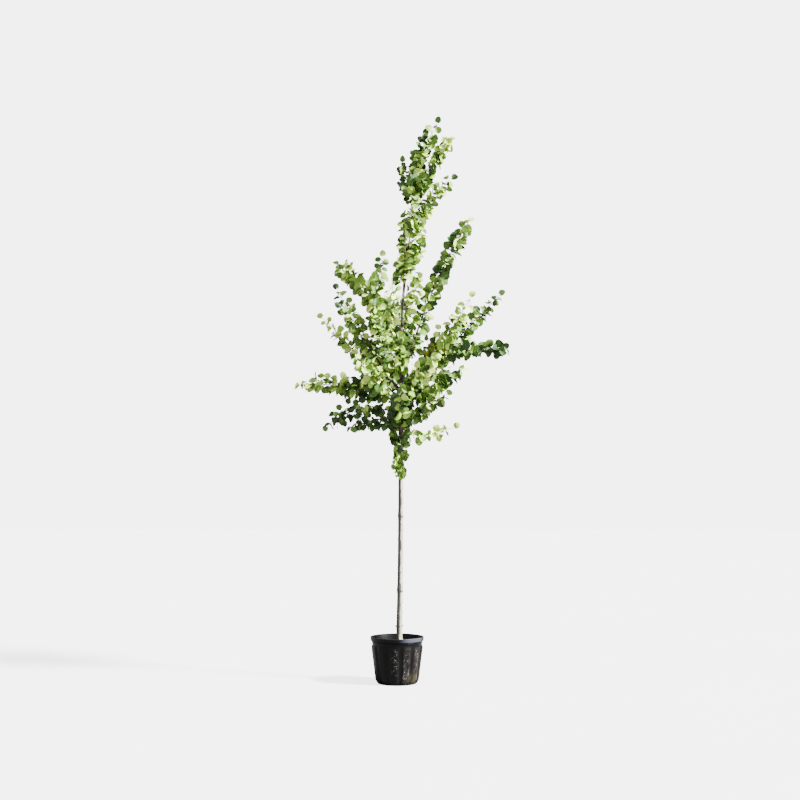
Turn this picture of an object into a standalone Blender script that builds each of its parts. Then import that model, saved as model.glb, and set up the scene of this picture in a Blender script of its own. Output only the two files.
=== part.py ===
"""A container-grown katsura sapling: a slim leaning trunk that runs up into a leader, steep boughs,
masses of round leaves set in opposite pairs, and a fluted black nursery pot full of potting mix.

Metres, +Z up. The origin is under the middle of the pot, on the surface that the pot stands on.
"""

import math
import random

import bmesh
import bpy
from mathutils import Matrix, Vector
from mathutils.bvhtree import BVHTree

# Pot
POT_HEIGHT = 0.345
POT_RIM_RADIUS = 0.200
POT_FOOT_RADIUS = 0.150
POT_WALL = 0.004
POT_FLOOR = 0.006
LIP_HEIGHT = 0.030
LIP_PROUD = 0.007
BAND_HEIGHT = 0.034
FLUTES = 12
FLUTE_DEPTH = 0.007
FLUTE_TURN = 17.6
STEPS_PER_FLUTE = 4

# Potting mix
SOIL_BELOW_RIM = 0.048
SOIL_SIDES = 36

# Trunk: its line follows the height, from a flat cut on the potting mix to where the leader's leaves begin
TRUNK_FOOT = Vector((0.011, 0.0))
TRUNK_TOP = 3.70
FLARE_HEIGHT = 0.075
FLARE_SWELL = 0.35
TRUNK_SIDES = 12
BOUGH_SIDES = 5
BOUGH_STEPS = 5
TRUNK_STEP = 0.19

# Gaps: solids rest this far apart, and foliage passes a limb no nearer than LEAF_CLEAR
SEAT_GAP = 0.0003
LEAF_CLEAR = 0.0015

# Leaves, a little larger than life because they are fewer, and how they stand in pairs along a shoot
LEAF_LENGTH = 0.094
LEAF_WIDTH_SHARE = 0.92
LEAF_THICK_SHARE = 0.024
LEAF_ROOT = 0.0002
LEAF_TRIES = 8
PAIR_GAP = 0.086
TIP_LEAF = 0.7

# Twigs: a pair at every second pair of leaves, between two shares of the stem
TWIG_SIDES = 3
TWIG_RADII = (0.0026, 0.0015)
TWIG_SPACING = 2
TWIG_FIRST = 0.08
TWIG_LAST = 0.74
TWIG_BARE = 0.45

UP = Vector((0, 0, 1))


def limb(name, leaves, heading, reach, rise, bow, bare, thick, spread, sway=0.0, leaf=1.0, gap=1.0):
    """One limb off the trunk. leaves: height where it leaves the trunk. heading: plan angle in degrees, 0 to
    the right, 90 to the back. reach and rise: how far out and up its furthest tip is. bow: how far the middle
    of its line stands above the straight way, or below and outside it where negative, as a share of it. sway:
    the same to its left. bare: the share of it that is a bough, 0 where its foliage starts at the trunk.
    thick: its radius at the trunk. spread: how far its foliage stands out from it. leaf and gap: how its
    leaves' size and spacing compare with the others'."""
    return dict(
        name=name, leaves=leaves, heading=math.radians(heading), reach=reach, rise=rise, bow=bow, sway=sway,
        bare=bare, thick=thick, spread=spread, leaf=LEAF_LENGTH * leaf, gap=PAIR_GAP * leaf * gap,
    )


LIMBS = [
    # Two leaders: the trunk's own, which leans right, and a lesser one beside it
    limb("leader", TRUNK_TOP, 2, 0.165, 0.52, bow=0.05, bare=0, thick=0.0052, spread=0.150, gap=0.7),
    limb("side_leader", 2.780, 300, 0.070, 0.77, bow=-0.02, sway=-0.01, bare=0.28, thick=0.0075, spread=0.085),
    limb("left_tip", 3.620, 172, 0.070, 0.300, bow=-0.02, bare=0, thick=0.0036, spread=0.105),
    # Right side, from the top down
    limb("right_tip", 3.600, 356, 0.280, 0.490, bow=0.07, bare=0, thick=0.0040, spread=0.120),
    limb("right_crest", 3.400, 8, 0.310, 0.410, bow=0.05, bare=0, thick=0.0040, spread=0.110),
    limb("right_steep", 2.200, 11, 0.530, 1.290, bow=0.040, bare=0.20, thick=0.0100, spread=0.125),
    limb("right_high", 2.165, 331, 0.580, 0.685, bow=-0.04, bare=0.19, thick=0.0080, spread=0.170),
    limb("right_middle", 2.125, 18, 0.800, 0.815, bow=0.0, bare=0.17, thick=0.0085, spread=0.130),
    limb("right_long", 2.080, 339, 0.825, 0.385, bow=0.17, bare=0.17, thick=0.0085, spread=0.130, gap=0.85),
    limb("right_low", 2.015, 19, 0.500, 0.340, bow=0.06, bare=0.20, thick=0.0065, spread=0.170),
    limb("right_lower", 1.945, 327, 0.395, 0.200, bow=-0.03, bare=0, thick=0.0048, spread=0.150),
    limb("right_foot", 1.870, 345, 0.400, 0.030, bow=-0.10, bare=0, thick=0.0036, spread=0.080),
    # Left side, from the top down
    limb("left_crest", 2.640, 228, 0.170, 0.285, bow=-0.06, bare=0, thick=0.0045, spread=0.130),
    limb("left_steep", 2.130, 215, 0.165, 1.050, bow=-0.12, bare=0.22, thick=0.0085, spread=0.135),
    limb("left_high", 2.290, 166, 0.500, 0.860, bow=0.11, bare=0.20, thick=0.0085, spread=0.135),
    limb("left_raised", 2.180, 196, 0.495, 0.745, bow=-0.035, bare=0.20, thick=0.0080, spread=0.140),
    limb("left_middle", 2.105, 156, 0.660, 0.660, bow=0.0, bare=0.18, thick=0.0085, spread=0.150),
    limb("left_long", 2.085, 189, 0.760, 0.140, bow=0.055, bare=0.18, thick=0.0085, spread=0.120),
    limb("left_low", 2.000, 159, 0.605, -0.075, bow=0.14, bare=0.19, thick=0.0065, spread=0.125),
    limb("left_foot", 1.905, 202, 0.400, -0.005, bow=0.11, bare=0, thick=0.0048, spread=0.110),
    # Towards the front
    limb("front_high", 2.190, 262, 0.470, 0.760, bow=-0.05, bare=0.14, thick=0.0075, spread=0.165),
    limb("front_left", 2.035, 235, 0.560, 0.355, bow=0.03, bare=0.20, thick=0.0075, spread=0.165),
    limb("front_right", 2.110, 297, 0.570, 0.290, bow=0.04, bare=0.20, thick=0.0075, spread=0.165),
    limb("front_low", 1.935, 272, 0.420, 0.220, bow=0.06, bare=0, thick=0.0048, spread=0.150),
    # Towards the back
    limb("back_high", 2.380, 84, 0.520, 0.620, bow=-0.06, bare=0.20, thick=0.0075, spread=0.170),
    limb("back_left", 2.165, 118, 0.600, 0.440, bow=-0.02, bare=0.20, thick=0.0080, spread=0.170),
    limb("back_right", 2.065, 58, 0.600, 0.435, bow=0.02, bare=0.20, thick=0.0080, spread=0.170),
    limb("back_low", 1.930, 100, 0.430, 0.140, bow=0.05, bare=0, thick=0.0048, spread=0.150),
    # Short sprays off the trunk itself, and the sprouts that hug its foot
    limb("trunk_top", 3.100, 25, 0.120, 0.360, bow=-0.05, bare=0, thick=0.0036, spread=0.110),
    limb("trunk_upper", 2.700, 350, 0.105, 0.420, bow=-0.05, bare=0, thick=0.0036, spread=0.115),
    limb("trunk_foot", 1.765, 205, 0.080, 0.180, bow=-0.10, bare=0, thick=0.0040, spread=0.095, leaf=0.75),
    limb("trunk_sprouts", 1.535, 232, 0.05, 0.225, bow=-0.12, bare=0, thick=0.0036, spread=0.05, leaf=0.5,
         gap=0.7),
]


# ---------------------------------------------------------------- lines of the trunk and limbs


def trunk_point(height):
    """The middle of the trunk at a height: a slow lean to the right, then the leader's bend."""
    lean = 0.0125 * (height - 0.3) + 0.006 * math.sin(1.9 * height)
    leader = 0.080 * max(0.0, height - 2.76)
    drift = 0.010 * math.sin(1.1 * height)
    return Vector((TRUNK_FOOT.x + lean + leader, TRUNK_FOOT.y + drift, height))


def trunk_radius(height):
    """A root flare, a long even taper to where the boughs leave, then a quicker one along the leader."""
    foot = POT_HEIGHT - SOIL_BELOW_RIM
    flare = FLARE_SWELL * max(0.0, 1 - (height - foot) / FLARE_HEIGHT) ** 2
    stem = 0.0225 - 0.0030 * (height - foot)
    leader = 0.0098 * max(0.0, min(height, 2.9) - 2.0) + 0.0032 * max(0.0, height - 2.9)
    return max(0.0052, stem * (1 + flare) - leader)


def limb_point(row, share):
    """A point on a limb's line, from the middle of the trunk at share 0 to its furthest tip at share 1."""
    out = Vector((math.cos(row["heading"]), math.sin(row["heading"]), 0))
    aside = UP.cross(out)
    start = trunk_point(row["leaves"])
    way = out * row["reach"] + UP * row["rise"]
    above = (UP - way * UP.dot(way) / way.length_squared).normalized()
    hump = 4 * share * (1 - share) * way.length
    rng = random.Random(row["name"])
    swing, phase = rng.uniform(0.004, 0.007), rng.uniform(0, math.tau)
    wander = swing * math.sin(phase + 11 * share) * share
    return start + way * share + above * row["bow"] * hump + aside * (row["sway"] * hump + wander)


def limb_radius(row, share):
    """Radius of a limb at a share of its length."""
    return max(0.0016, row["thick"] * (1 - 0.78 * share))


def bough_shares(row):
    """The shares of the limb's line at a bough's rings."""
    return [row["bare"] * i / BOUGH_STEPS for i in range(BOUGH_STEPS + 1)]


def seat_way(row):
    """The way the trunk or bough runs at the flat tip that a stem is seated on, None off the trunk's side."""
    if row["name"] == "leader":
        heights = trunk_line()[-2:]
        below, tip = (trunk_point(height) for height in heights)
    elif row["bare"]:
        below, tip = (limb_point(row, share) for share in bough_shares(row)[-2:])
    else:
        return None
    return (tip - below).normalized()


def stem_points(row, steps):
    """The line of the stem inside a mass. It starts a seat's gap past a flat tip, or inside the trunk."""
    first = row["bare"]
    points = [limb_point(row, first + (1 - first) * i / steps) for i in range(steps + 1)]
    points[0] += (seat_way(row) or Vector()) * SEAT_GAP
    return points


# ---------------------------------------------------------------- meshes


def closed_tube(points, radii, sides, facing=None):
    """A closed tapering tube: a cone for its first stretch, whose end face is extruded along the rest.

    facing: the way its first flat end looks back from, where that isn't the tube's own."""
    mesh = bmesh.new()
    bmesh.ops.create_cone(mesh, cap_ends=True, segments=sides, radius1=1, radius2=1, depth=2)
    along = (points[1] - points[0]).normalized()
    turn = along.to_track_quat("Z", "Y")
    turns = [along.rotation_difference(facing or along) @ turn, turn]
    for vert in mesh.verts:
        end = 1 if vert.co.z > 0 else 0
        vert.co = points[end] + turns[end] @ Vector((vert.co.x, vert.co.y, 0)) * radii[end]
    mesh.faces.ensure_lookup_table()
    cap = max((f for f in mesh.faces), key=lambda f: (f.calc_center_median() - points[0]).dot(along))
    for i in range(2, len(points)):
        onward = (points[i] - points[i - 1]).normalized()
        bend = along.rotation_difference(onward)
        cap = bmesh.ops.extrude_discrete_faces(mesh, faces=[cap])["faces"][0]
        for vert in cap.verts:
            vert.co = points[i] + bend @ (vert.co - points[i - 1]) * (radii[i] / radii[i - 1])
        along = onward
    return mesh


def leaf_solid(place, length):
    """A thin blade: a coarse sphere of eight faces, stood on one of them and pressed flat.

    Seen from above it has six corners, the first of them its root and the fourth its tip."""
    mesh = bmesh.new()
    bmesh.ops.create_uvsphere(mesh, u_segments=4, v_segments=2, radius=1)
    stand = Vector((1, 1, 1)).rotation_difference(UP).to_matrix().to_4x4()
    mesh.transform(Matrix.Rotation(math.radians(-45), 4, "Z") @ stand)
    outer = max(v.co.x for v in mesh.verts)
    for vert in mesh.verts:
        along = (vert.co.x / outer + 1) / 2
        across = vert.co.y / outer / math.sin(math.radians(60)) / 2
        above = math.copysign(LEAF_THICK_SHARE / 2, vert.co.z)
        vert.co = length * Vector((along, across * LEAF_WIDTH_SHARE * (1.12 - 0.24 * along), above))
    mesh.transform(place)
    return mesh


def shown(name, mesh, material, collection, smooth=True):
    """A named object from a bmesh, in the collection of the sapling."""
    data = bpy.data.meshes.new(name)
    mesh.to_mesh(data)
    mesh.free()
    data.materials.append(material)
    if smooth:
        data.shade_smooth()
        data.set_sharp_from_angle(angle=math.radians(40))
    thing = bpy.data.objects.new(name, data)
    collection.objects.link(thing)
    return thing


def surface(name, colour, roughness, metallic=0.0):
    """A Principled material."""
    material = bpy.data.materials.new(name)
    material.use_nodes = True
    shader = material.node_tree.nodes["Principled BSDF"]
    shader.inputs["Base Color"].default_value = (*colour, 1)
    shader.inputs["Roughness"].default_value = roughness
    shader.inputs["Metallic"].default_value = metallic
    return material


def cut(thing, cutter):
    """Applies a Boolean difference of the cutter."""
    modifier = thing.modifiers.new("Seat", "BOOLEAN")
    modifier.operation = "DIFFERENCE"
    modifier.solver = "EXACT"
    modifier.object = cutter
    keep_result(thing, modifier)


def keep_result(thing, modifier):
    """Makes what the modifier shows the object's own mesh."""
    graph = bpy.context.evaluated_depsgraph_get()
    made = bpy.data.meshes.new_from_object(thing.evaluated_get(graph))
    thing.modifiers.remove(modifier)
    thing.data = made


# ---------------------------------------------------------------- pot and potting mix


def pot_radius(height):
    """Outside radius of the plain wall under the lip."""
    return POT_FOOT_RADIUS + (POT_RIM_RADIUS - LIP_PROUD - POT_FOOT_RADIUS) * height / POT_HEIGHT


def make_pot(collection, material):
    """A turned cup with a stepped lip, whose lower wall then stands out in flutes."""
    flute_top = POT_HEIGHT - LIP_HEIGHT - BAND_HEIGHT
    flute_foot = 0.022
    lip_low = POT_HEIGHT - LIP_HEIGHT
    inner_rim = POT_RIM_RADIUS - LIP_PROUD - POT_WALL
    profile = [
        (0, POT_FLOOR),
        (POT_FOOT_RADIUS - POT_WALL, POT_FLOOR),
        (inner_rim, POT_HEIGHT - 0.004),
        (inner_rim + 0.004, POT_HEIGHT),
        (POT_RIM_RADIUS - 0.003, POT_HEIGHT),
        (POT_RIM_RADIUS, POT_HEIGHT - 0.004),
        (POT_RIM_RADIUS - 0.002, lip_low + 0.004),
        (pot_radius(lip_low) + 0.001, lip_low),
        (pot_radius(flute_top) + 0.001, flute_top + 0.006),
        (pot_radius(flute_top), flute_top),
        (pot_radius(flute_foot), flute_foot),
        (POT_FOOT_RADIUS, 0.010),
        (POT_FOOT_RADIUS - 0.006, 0),
        (0, 0),
    ]
    mesh = bmesh.new()
    verts = [mesh.verts.new((radius, 0, height)) for radius, height in profile]
    for first, second in zip(verts, verts[1:]):
        mesh.edges.new((first, second))
    pot = shown("pot", mesh, material, collection)
    turn = pot.modifiers.new("Turn", "SCREW")
    turn.axis = "Z"
    turn.steps = turn.render_steps = FLUTES * STEPS_PER_FLUTE
    turn.use_merge_vertices = True
    turn.merge_threshold = 0.00005
    turn.use_normal_calculate = True
    keep_result(pot, turn)
    for vert in pot.data.vertices:
        radius = math.hypot(vert.co.x, vert.co.y)
        on_wall = radius > pot_radius(vert.co.z) - POT_WALL / 2
        if not on_wall or not 0.012 < vert.co.z < flute_top + 0.001:
            continue
        step = round(math.atan2(vert.co.y, vert.co.x) / math.tau * FLUTES * STEPS_PER_FLUTE)
        if step % STEPS_PER_FLUTE < STEPS_PER_FLUTE / 2:
            share = (radius + FLUTE_DEPTH) / radius
            vert.co.x *= share
            vert.co.y *= share
    closed = bmesh.new()
    closed.from_mesh(pot.data)
    bmesh.ops.remove_doubles(closed, verts=closed.verts, dist=0.00005)
    bmesh.ops.recalc_face_normals(closed, faces=closed.faces)
    closed.to_mesh(pot.data)
    closed.free()
    pot.data.transform(Matrix.Rotation(math.radians(FLUTE_TURN), 4, "Z"))
    pot.data.shade_smooth()
    pot.data.set_sharp_from_angle(angle=math.radians(35))
    return pot


def make_soil(collection, material):
    """The root ball's potting mix, which fills the pot to just under its rim."""
    low = POT_FLOOR + SEAT_GAP
    high = POT_HEIGHT - SOIL_BELOW_RIM
    slope = (POT_RIM_RADIUS - LIP_PROUD - POT_FOOT_RADIUS) / (POT_HEIGHT - 0.004 - POT_FLOOR)
    inside = POT_FOOT_RADIUS - POT_WALL
    gap = 0.0008 + POT_WALL * 0.25
    mesh = bmesh.new()
    bmesh.ops.create_cone(
        mesh, cap_ends=True, segments=SOIL_SIDES, radius1=inside - gap,
        radius2=inside + slope * (high - low) - gap, depth=high - low,
    )
    bmesh.ops.translate(mesh, verts=mesh.verts, vec=(0, 0, (low + high) / 2))
    return shown("potting_mix", mesh, material, collection)


# ---------------------------------------------------------------- trunk and boughs


def trunk_line():
    """Heights of the trunk's rings, close together over the root flare."""
    foot = POT_HEIGHT - SOIL_BELOW_RIM + SEAT_GAP
    heights = [foot + FLARE_HEIGHT * share for share in (0, 0.2, 0.5, 1)]
    steps = round((TRUNK_TOP - heights[-1]) / TRUNK_STEP)
    rise = (TRUNK_TOP - heights[-1]) / steps
    return heights + [heights[-1] + rise * i for i in range(1, steps + 1)]


def trunk_mesh(extra=0.0):
    """The trunk as a tube, or its clearance where extra is given."""
    heights = trunk_line()
    points = [trunk_point(h) for h in heights]
    points[0].xy = points[1].xy
    return closed_tube(points, [trunk_radius(h) + extra for h in heights], TRUNK_SIDES)


def bough_mesh(row, extra=0.0):
    """A bough from the trunk's middle to its flat tip."""
    shares = bough_shares(row)
    points = [limb_point(row, share) for share in shares]
    return closed_tube(points, [limb_radius(row, share) + extra for share in shares], BOUGH_SIDES)


# ---------------------------------------------------------------- masses of leaves


def stem_steps(row):
    """How many stretches a mass's stem is made in."""
    return max(3, round(row["reach"] + abs(row["rise"])) * 4)


def stem_mesh(row):
    """The stem of a mass, which carries on its bough's taper."""
    steps = stem_steps(row)
    radii = [limb_radius(row, row["bare"] + (1 - row["bare"]) * i / steps) for i in range(steps + 1)]
    return closed_tube(stem_points(row, steps), radii, TWIG_SIDES, seat_way(row))


class Crown:
    """What foliage keeps clear of: the limbs, whatever has grown so far, and the spaces of other masses."""

    def __init__(self):
        self.lines = {row["name"]: stem_points(row, 12) for row in LIMBS}
        self.stems = {row["name"]: BVHTree.FromBMesh(stem_mesh(row)) for row in LIMBS}
        self.grown = [BVHTree.FromBMesh(trunk_mesh(LEAF_CLEAR)), *self.stems.values()]
        self.grown += [BVHTree.FromBMesh(bough_mesh(row, LEAF_CLEAR)) for row in LIMBS if row["bare"]]

    def note(self, mesh):
        """Remembers a twig or leaf as grown."""
        self.grown.append(BVHTree.FromBMesh(mesh))
        return self.grown[-1]

    def takes(self, row, mesh, parent):
        """True if a new twig or leaf stays in its mass's space and touches only the parent it grows from."""
        tree = BVHTree.FromBMesh(mesh)
        touches = any(other is not parent and tree.overlap(other) for other in self.grown)
        return not touches and self.inside(row, [vert.co for vert in mesh.verts])

    def share_of(self, row, point):
        """The distance from a mass's stem, as a share of how far its space reaches there."""
        line = self.lines[row["name"]]
        best = 9.0
        for i, (a, b) in enumerate(zip(line, line[1:])):
            way = b - a
            t = min(1.0, max(0.0, (point - a).dot(way) / way.length_squared))
            along = (i + t) / (len(line) - 1)
            best = min(best, (point - a - way * t).length / space_radius(row, along))
        return best

    def inside(self, row, points):
        """True if the points lie in the mass's own space and nearer to it than to any other mass."""
        for point in points:
            own = self.share_of(row, point)
            if own > 1:
                return False
            for other in LIMBS:
                if other is row or not self.near(other, point):
                    continue
                if self.share_of(other, point) < own:
                    return False
        return True

    def near(self, row, point):
        """True if a point may lie in a mass's space: a quick test on the box round it."""
        line = self.lines[row["name"]]
        reach = space_radius(row, 0)
        for axis in range(3):
            low = min(p[axis] for p in line) - reach
            high = max(p[axis] for p in line) + reach
            if not low <= point[axis] <= high:
                return False
        return True


def space_radius(row, along):
    """How far a mass reaches from its stem: full near its foot, drawn in to one leaf at its tip."""
    tip = min(row["spread"], 0.95 * row["leaf"])
    full = row["spread"] + 0.35 * row["leaf"]
    return tip + (full - tip) * (1 - along) ** 0.8


def leaf_place(root, way, side, rng):
    """Where a leaf is set: rooted in its twig, pointing out and forward, its blade turned to the light."""
    out = (side * 0.85 + way * rng.uniform(0.25, 0.6) + UP * rng.uniform(-0.25, 0.2)).normalized()
    face = UP * 0.3 + Vector([rng.uniform(-0.8, 0.8) for _ in range(3)])
    face = (face - out * face.dot(out)).normalized()
    across = face.cross(out)
    turn = Matrix((out, across, face)).transposed().to_4x4()
    return Matrix.Translation(root + out * LEAF_ROOT) @ turn


def pair_sides(way, turn):
    """The two opposite directions, square to a shoot, in which a pair of leaves or twigs stands."""
    first = way.orthogonal().normalized()
    level = UP.cross(way)
    if level.length > 0.2:
        first = level.normalized()
    first = Matrix.Rotation(turn, 3, way) @ first
    return first, -first


def line_place(points, distance):
    """The point and direction at a distance along a line of points."""
    for a, b in zip(points, points[1:]):
        step = (b - a).length
        if distance <= step:
            return a + (b - a) * (distance / step), (b - a).normalized()
        distance -= step
    return points[-1], (points[-1] - points[-2]).normalized()


class Mass:
    """One mass of foliage: a stem, side shoots in opposite pairs along its inner part, and leaves."""

    def __init__(self, row, crown):
        self.row = row
        self.crown = crown
        self.rng = random.Random(row["name"] + " leaves")
        self.pieces = []

    def grow(self):
        """Grows the twigs, then the stem's own leaves."""
        row, rng = self.row, self.rng
        points = stem_points(row, stem_steps(row))
        tree = self.crown.stems[row["name"]]
        length = sum((b - a).length for a, b in zip(points, points[1:]))
        nodes = max(2, round(length / row["gap"]) // TWIG_SPACING)
        for i in range(nodes):
            at = length * (TWIG_FIRST + (TWIG_LAST - TWIG_FIRST) * i / nodes)
            root, way = line_place(points, at)
            reach = space_radius(row, at / length) - 0.62 * row["leaf"]
            for side in pair_sides(way, i * math.pi / 2 + rng.uniform(-0.4, 0.4)):
                if reach > 0.5 * row["leaf"]:
                    self.set_twig(root, way, side, reach * rng.uniform(0.8, 1.05), tree)
        self.set_leaves(points, row["gap"] * 0.55, tree)

    def set_twig(self, root, way, side, length, parent):
        """A side shoot that leaves the stem at a half-open angle and points up a little, with its leaves."""
        out = (side + way * self.rng.uniform(0.55, 0.95) + UP * 0.25).normalized()
        line = [root, root + out * length]
        twig = closed_tube(line, TWIG_RADII, TWIG_SIDES)
        if self.crown.takes(self.row, twig, parent):
            self.pieces.append(twig)
            self.set_leaves(line, length * TWIG_BARE, self.crown.note(twig))
        else:
            twig.free()

    def set_leaves(self, points, start, parent):
        """Pairs of leaves along a shoot, each a quarter turn from the last, and one leaf at its tip."""
        row, rng = self.row, self.rng
        length = sum((b - a).length for a, b in zip(points, points[1:]))
        pairs = max(1, round((length - start) / row["gap"]))
        turn = rng.uniform(-0.5, 0.5)
        for i in range(pairs):
            at = start + (length - start) * i / pairs
            root, way = line_place(points, at)
            size = row["leaf"] * rng.uniform(0.85, 1.08) * (1 - 0.22 * at / length)
            for side in pair_sides(way, turn + i * math.pi / 2 + rng.uniform(-0.35, 0.35)):
                self.set_leaf(root, way, side, size, parent)
        root, way = line_place(points, length - 0.003)
        side, _ = pair_sides(way, rng.uniform(0, math.tau))
        self.set_leaf(root, way, (way * 3 + side).normalized(), row["leaf"] * TIP_LEAF, parent)

    def set_leaf(self, root, way, side, size, parent):
        """A leaf, tried at a few angles until it has room."""
        for _ in range(LEAF_TRIES):
            leaf = leaf_solid(leaf_place(root, way, side, self.rng), size)
            if self.crown.takes(self.row, leaf, parent):
                self.crown.note(leaf)
                self.pieces.append(leaf)
                return
            leaf.free()


def make_mass(row, crown, collection, material):
    """A mass as one solid."""
    mass = Mass(row, crown)
    mass.grow()
    stem = shown(row["name"] + "_leaves", stem_mesh(row), material, collection, False)
    if not seat_way(row):
        cut(stem, bpy.data.objects["trunk_clearance"])
    fuse(stem, mass.pieces)


def islands(mesh):
    """The groups of faces that hang together."""
    left = set(mesh.faces)
    while left:
        group, edge_of_group = set(), [left.pop()]
        while edge_of_group:
            face = edge_of_group.pop()
            group.add(face)
            near = {other for edge in face.edges for other in edge.link_faces} & left
            left -= near
            edge_of_group += near
        yield group


def keep_outer_shell(thing):
    """Fills any hollow that fusing sealed and drops any loose scrap, by keeping the shell with most faces."""
    mesh = bmesh.new()
    mesh.from_mesh(thing.data)
    shells = sorted(islands(mesh), key=len)
    inner = [face for shell in shells[:-1] for face in shell]
    if inner:
        print(thing.name, "loses", len(shells) - 1, "inner shells or scraps of", len(inner), "faces")
        bmesh.ops.delete(mesh, geom=inner, context="FACES")
        mesh.to_mesh(thing.data)
    mesh.free()


def fuse(stem, meshes):
    """One Boolean union of the stem with a collection that holds the twigs and leaves."""
    holder = bpy.data.collections.new(stem.name + "_pieces")
    bpy.context.scene.collection.children.link(holder)
    for i, mesh in enumerate(meshes):
        shown(f"{stem.name}_piece_{i}", mesh, stem.data.materials[0], holder, False)
    modifier = stem.modifiers.new("Fuse", "BOOLEAN")
    modifier.operation = "UNION"
    modifier.solver = "MANIFOLD"
    modifier.operand_type = "COLLECTION"
    modifier.collection = holder
    keep_result(stem, modifier)
    keep_outer_shell(stem)
    for thing in list(holder.objects):
        data = thing.data
        bpy.data.objects.remove(thing)
        bpy.data.meshes.remove(data)
    bpy.data.collections.remove(holder)
    print(stem.name, len(meshes), "pieces", len(stem.data.polygons), "faces")


def main():
    for thing in list(bpy.data.objects):
        bpy.data.objects.remove(thing)
    sapling = bpy.data.collections.new("sapling")
    cutters = bpy.data.collections.new("cutters")
    for collection in (sapling, cutters):
        bpy.context.scene.collection.children.link(collection)
    bark = surface("bark", (0.42, 0.38, 0.32), 0.85)
    shoot = surface("young_bark", (0.20, 0.15, 0.11), 0.7)
    leaf = surface("leaf", (0.16, 0.30, 0.05), 0.5)
    plastic = surface("pot_plastic", (0.02, 0.02, 0.022), 0.45)
    mix = surface("potting_mix", (0.06, 0.04, 0.03), 0.95)

    make_pot(sapling, plastic)
    make_soil(sapling, mix)
    shown("trunk", trunk_mesh(), bark, sapling)
    clearance = shown("trunk_clearance", trunk_mesh(SEAT_GAP), bark, cutters)
    clearance.hide_render = True
    clearance.display_type = "WIRE"
    for row in LIMBS:
        if row["bare"]:
            bough = shown(row["name"] + "_bough", bough_mesh(row), shoot, sapling)
            cut(bough, clearance)
            keep_outer_shell(bough)
    crown = Crown()
    for row in LIMBS:
        make_mass(row, crown, sapling, leaf)


main()
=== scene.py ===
import math
import random

import bmesh
import bpy
import numpy as np
from mathutils import Matrix, Vector, noise


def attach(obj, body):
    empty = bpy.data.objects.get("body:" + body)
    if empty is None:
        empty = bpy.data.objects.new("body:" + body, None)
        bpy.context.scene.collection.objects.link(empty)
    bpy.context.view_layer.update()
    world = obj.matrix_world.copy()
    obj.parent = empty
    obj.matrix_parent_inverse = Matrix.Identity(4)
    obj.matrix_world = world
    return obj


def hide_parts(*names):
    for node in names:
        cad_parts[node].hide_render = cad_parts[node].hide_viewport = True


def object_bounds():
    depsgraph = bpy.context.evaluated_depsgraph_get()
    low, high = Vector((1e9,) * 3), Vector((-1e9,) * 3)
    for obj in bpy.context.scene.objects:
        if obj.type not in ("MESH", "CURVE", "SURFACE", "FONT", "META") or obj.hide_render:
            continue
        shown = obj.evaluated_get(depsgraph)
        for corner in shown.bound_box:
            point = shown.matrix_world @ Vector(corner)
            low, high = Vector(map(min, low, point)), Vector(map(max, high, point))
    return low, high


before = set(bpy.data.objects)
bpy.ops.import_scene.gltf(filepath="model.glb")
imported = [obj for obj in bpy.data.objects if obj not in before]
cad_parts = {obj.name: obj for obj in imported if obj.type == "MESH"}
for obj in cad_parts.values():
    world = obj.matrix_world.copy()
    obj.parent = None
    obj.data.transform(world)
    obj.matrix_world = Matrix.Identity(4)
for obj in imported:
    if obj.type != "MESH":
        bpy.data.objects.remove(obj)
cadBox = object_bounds()
print("Frame loaded with", len(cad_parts), "nodes")

up = Vector((0, 0, 1))


def within(value, high=1.0):
    return min(high, max(0.0, value))


def between(pair, share):
    return pair[0] + (pair[1] - pair[0]) * share


# Shader nodes, and the effects that several finishes share


def rgb(red, green, blue):
    # a colour as it shows on a screen, 0 to 255, made the linear one that shaders take
    parts = [value / 255 for value in (red, green, blue)]
    return tuple(p / 12.92 if p < 0.04045 else ((p + 0.055) / 1.055) ** 2.4 for p in parts)


def feed(tree, socket, value):
    # value: a plain one, or another node's output
    if isinstance(value, bpy.types.NodeSocket):
        tree.links.new(value, socket)
    else:
        socket.default_value = (*value, 1) if socket.type == "RGBA" else value


def addNode(tree, kind, settings=None, inputs=None):
    node = tree.nodes.new("ShaderNode" + kind)
    count = len(tree.nodes)
    node.location = (180 * (count % 8) - 1700, 500 - 240 * (count // 8))
    for name, value in (settings or {}).items():
        setattr(node, name, value)
    for name, value in (inputs or {}).items():
        feed(tree, node.inputs[name], value)
    return node


def newGroup(name, inputs):
    # a group that makes one mask from its inputs
    tree = bpy.data.node_groups.new(name, "ShaderNodeTree")
    for label, kind, value in inputs:
        socket = tree.interface.new_socket(label, in_out="INPUT", socket_type="NodeSocket" + kind)
        socket.default_value = value
    tree.interface.new_socket("Mask", in_out="OUTPUT", socket_type="NodeSocketFloat")
    start, end = tree.nodes.new("NodeGroupInput"), tree.nodes.new("NodeGroupOutput")
    return tree, start.outputs, end.inputs["Mask"]


def makePatches():
    # soft patches, noise cut between two levels; drawn out one way they are fissures, runs or lenticels
    tree, given, mask = newGroup("patches", [
        ("Vector", "Vector", (0.0, 0.0, 0.0)), ("Stretch", "Vector", (1.0, 1.0, 1.0)),
        ("Detail", "Float", 3.0), ("Low", "Float", 0.4), ("High", "Float", 0.6),
    ])
    drawn = addNode(tree, "VectorMath", {"operation": "MULTIPLY"}, {0: given["Vector"], 1: given["Stretch"]})
    cloud = addNode(tree, "TexNoise", None, {
        "Vector": drawn.outputs["Vector"], "Scale": 1.0, "Detail": given["Detail"]})
    level = addNode(tree, "MapRange", {"interpolation_type": "SMOOTHSTEP"}, {
        "Value": cloud.outputs["Fac"], "From Min": given["Low"], "From Max": given["High"]})
    tree.links.new(level.outputs["Result"], mask)
    return tree


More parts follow.
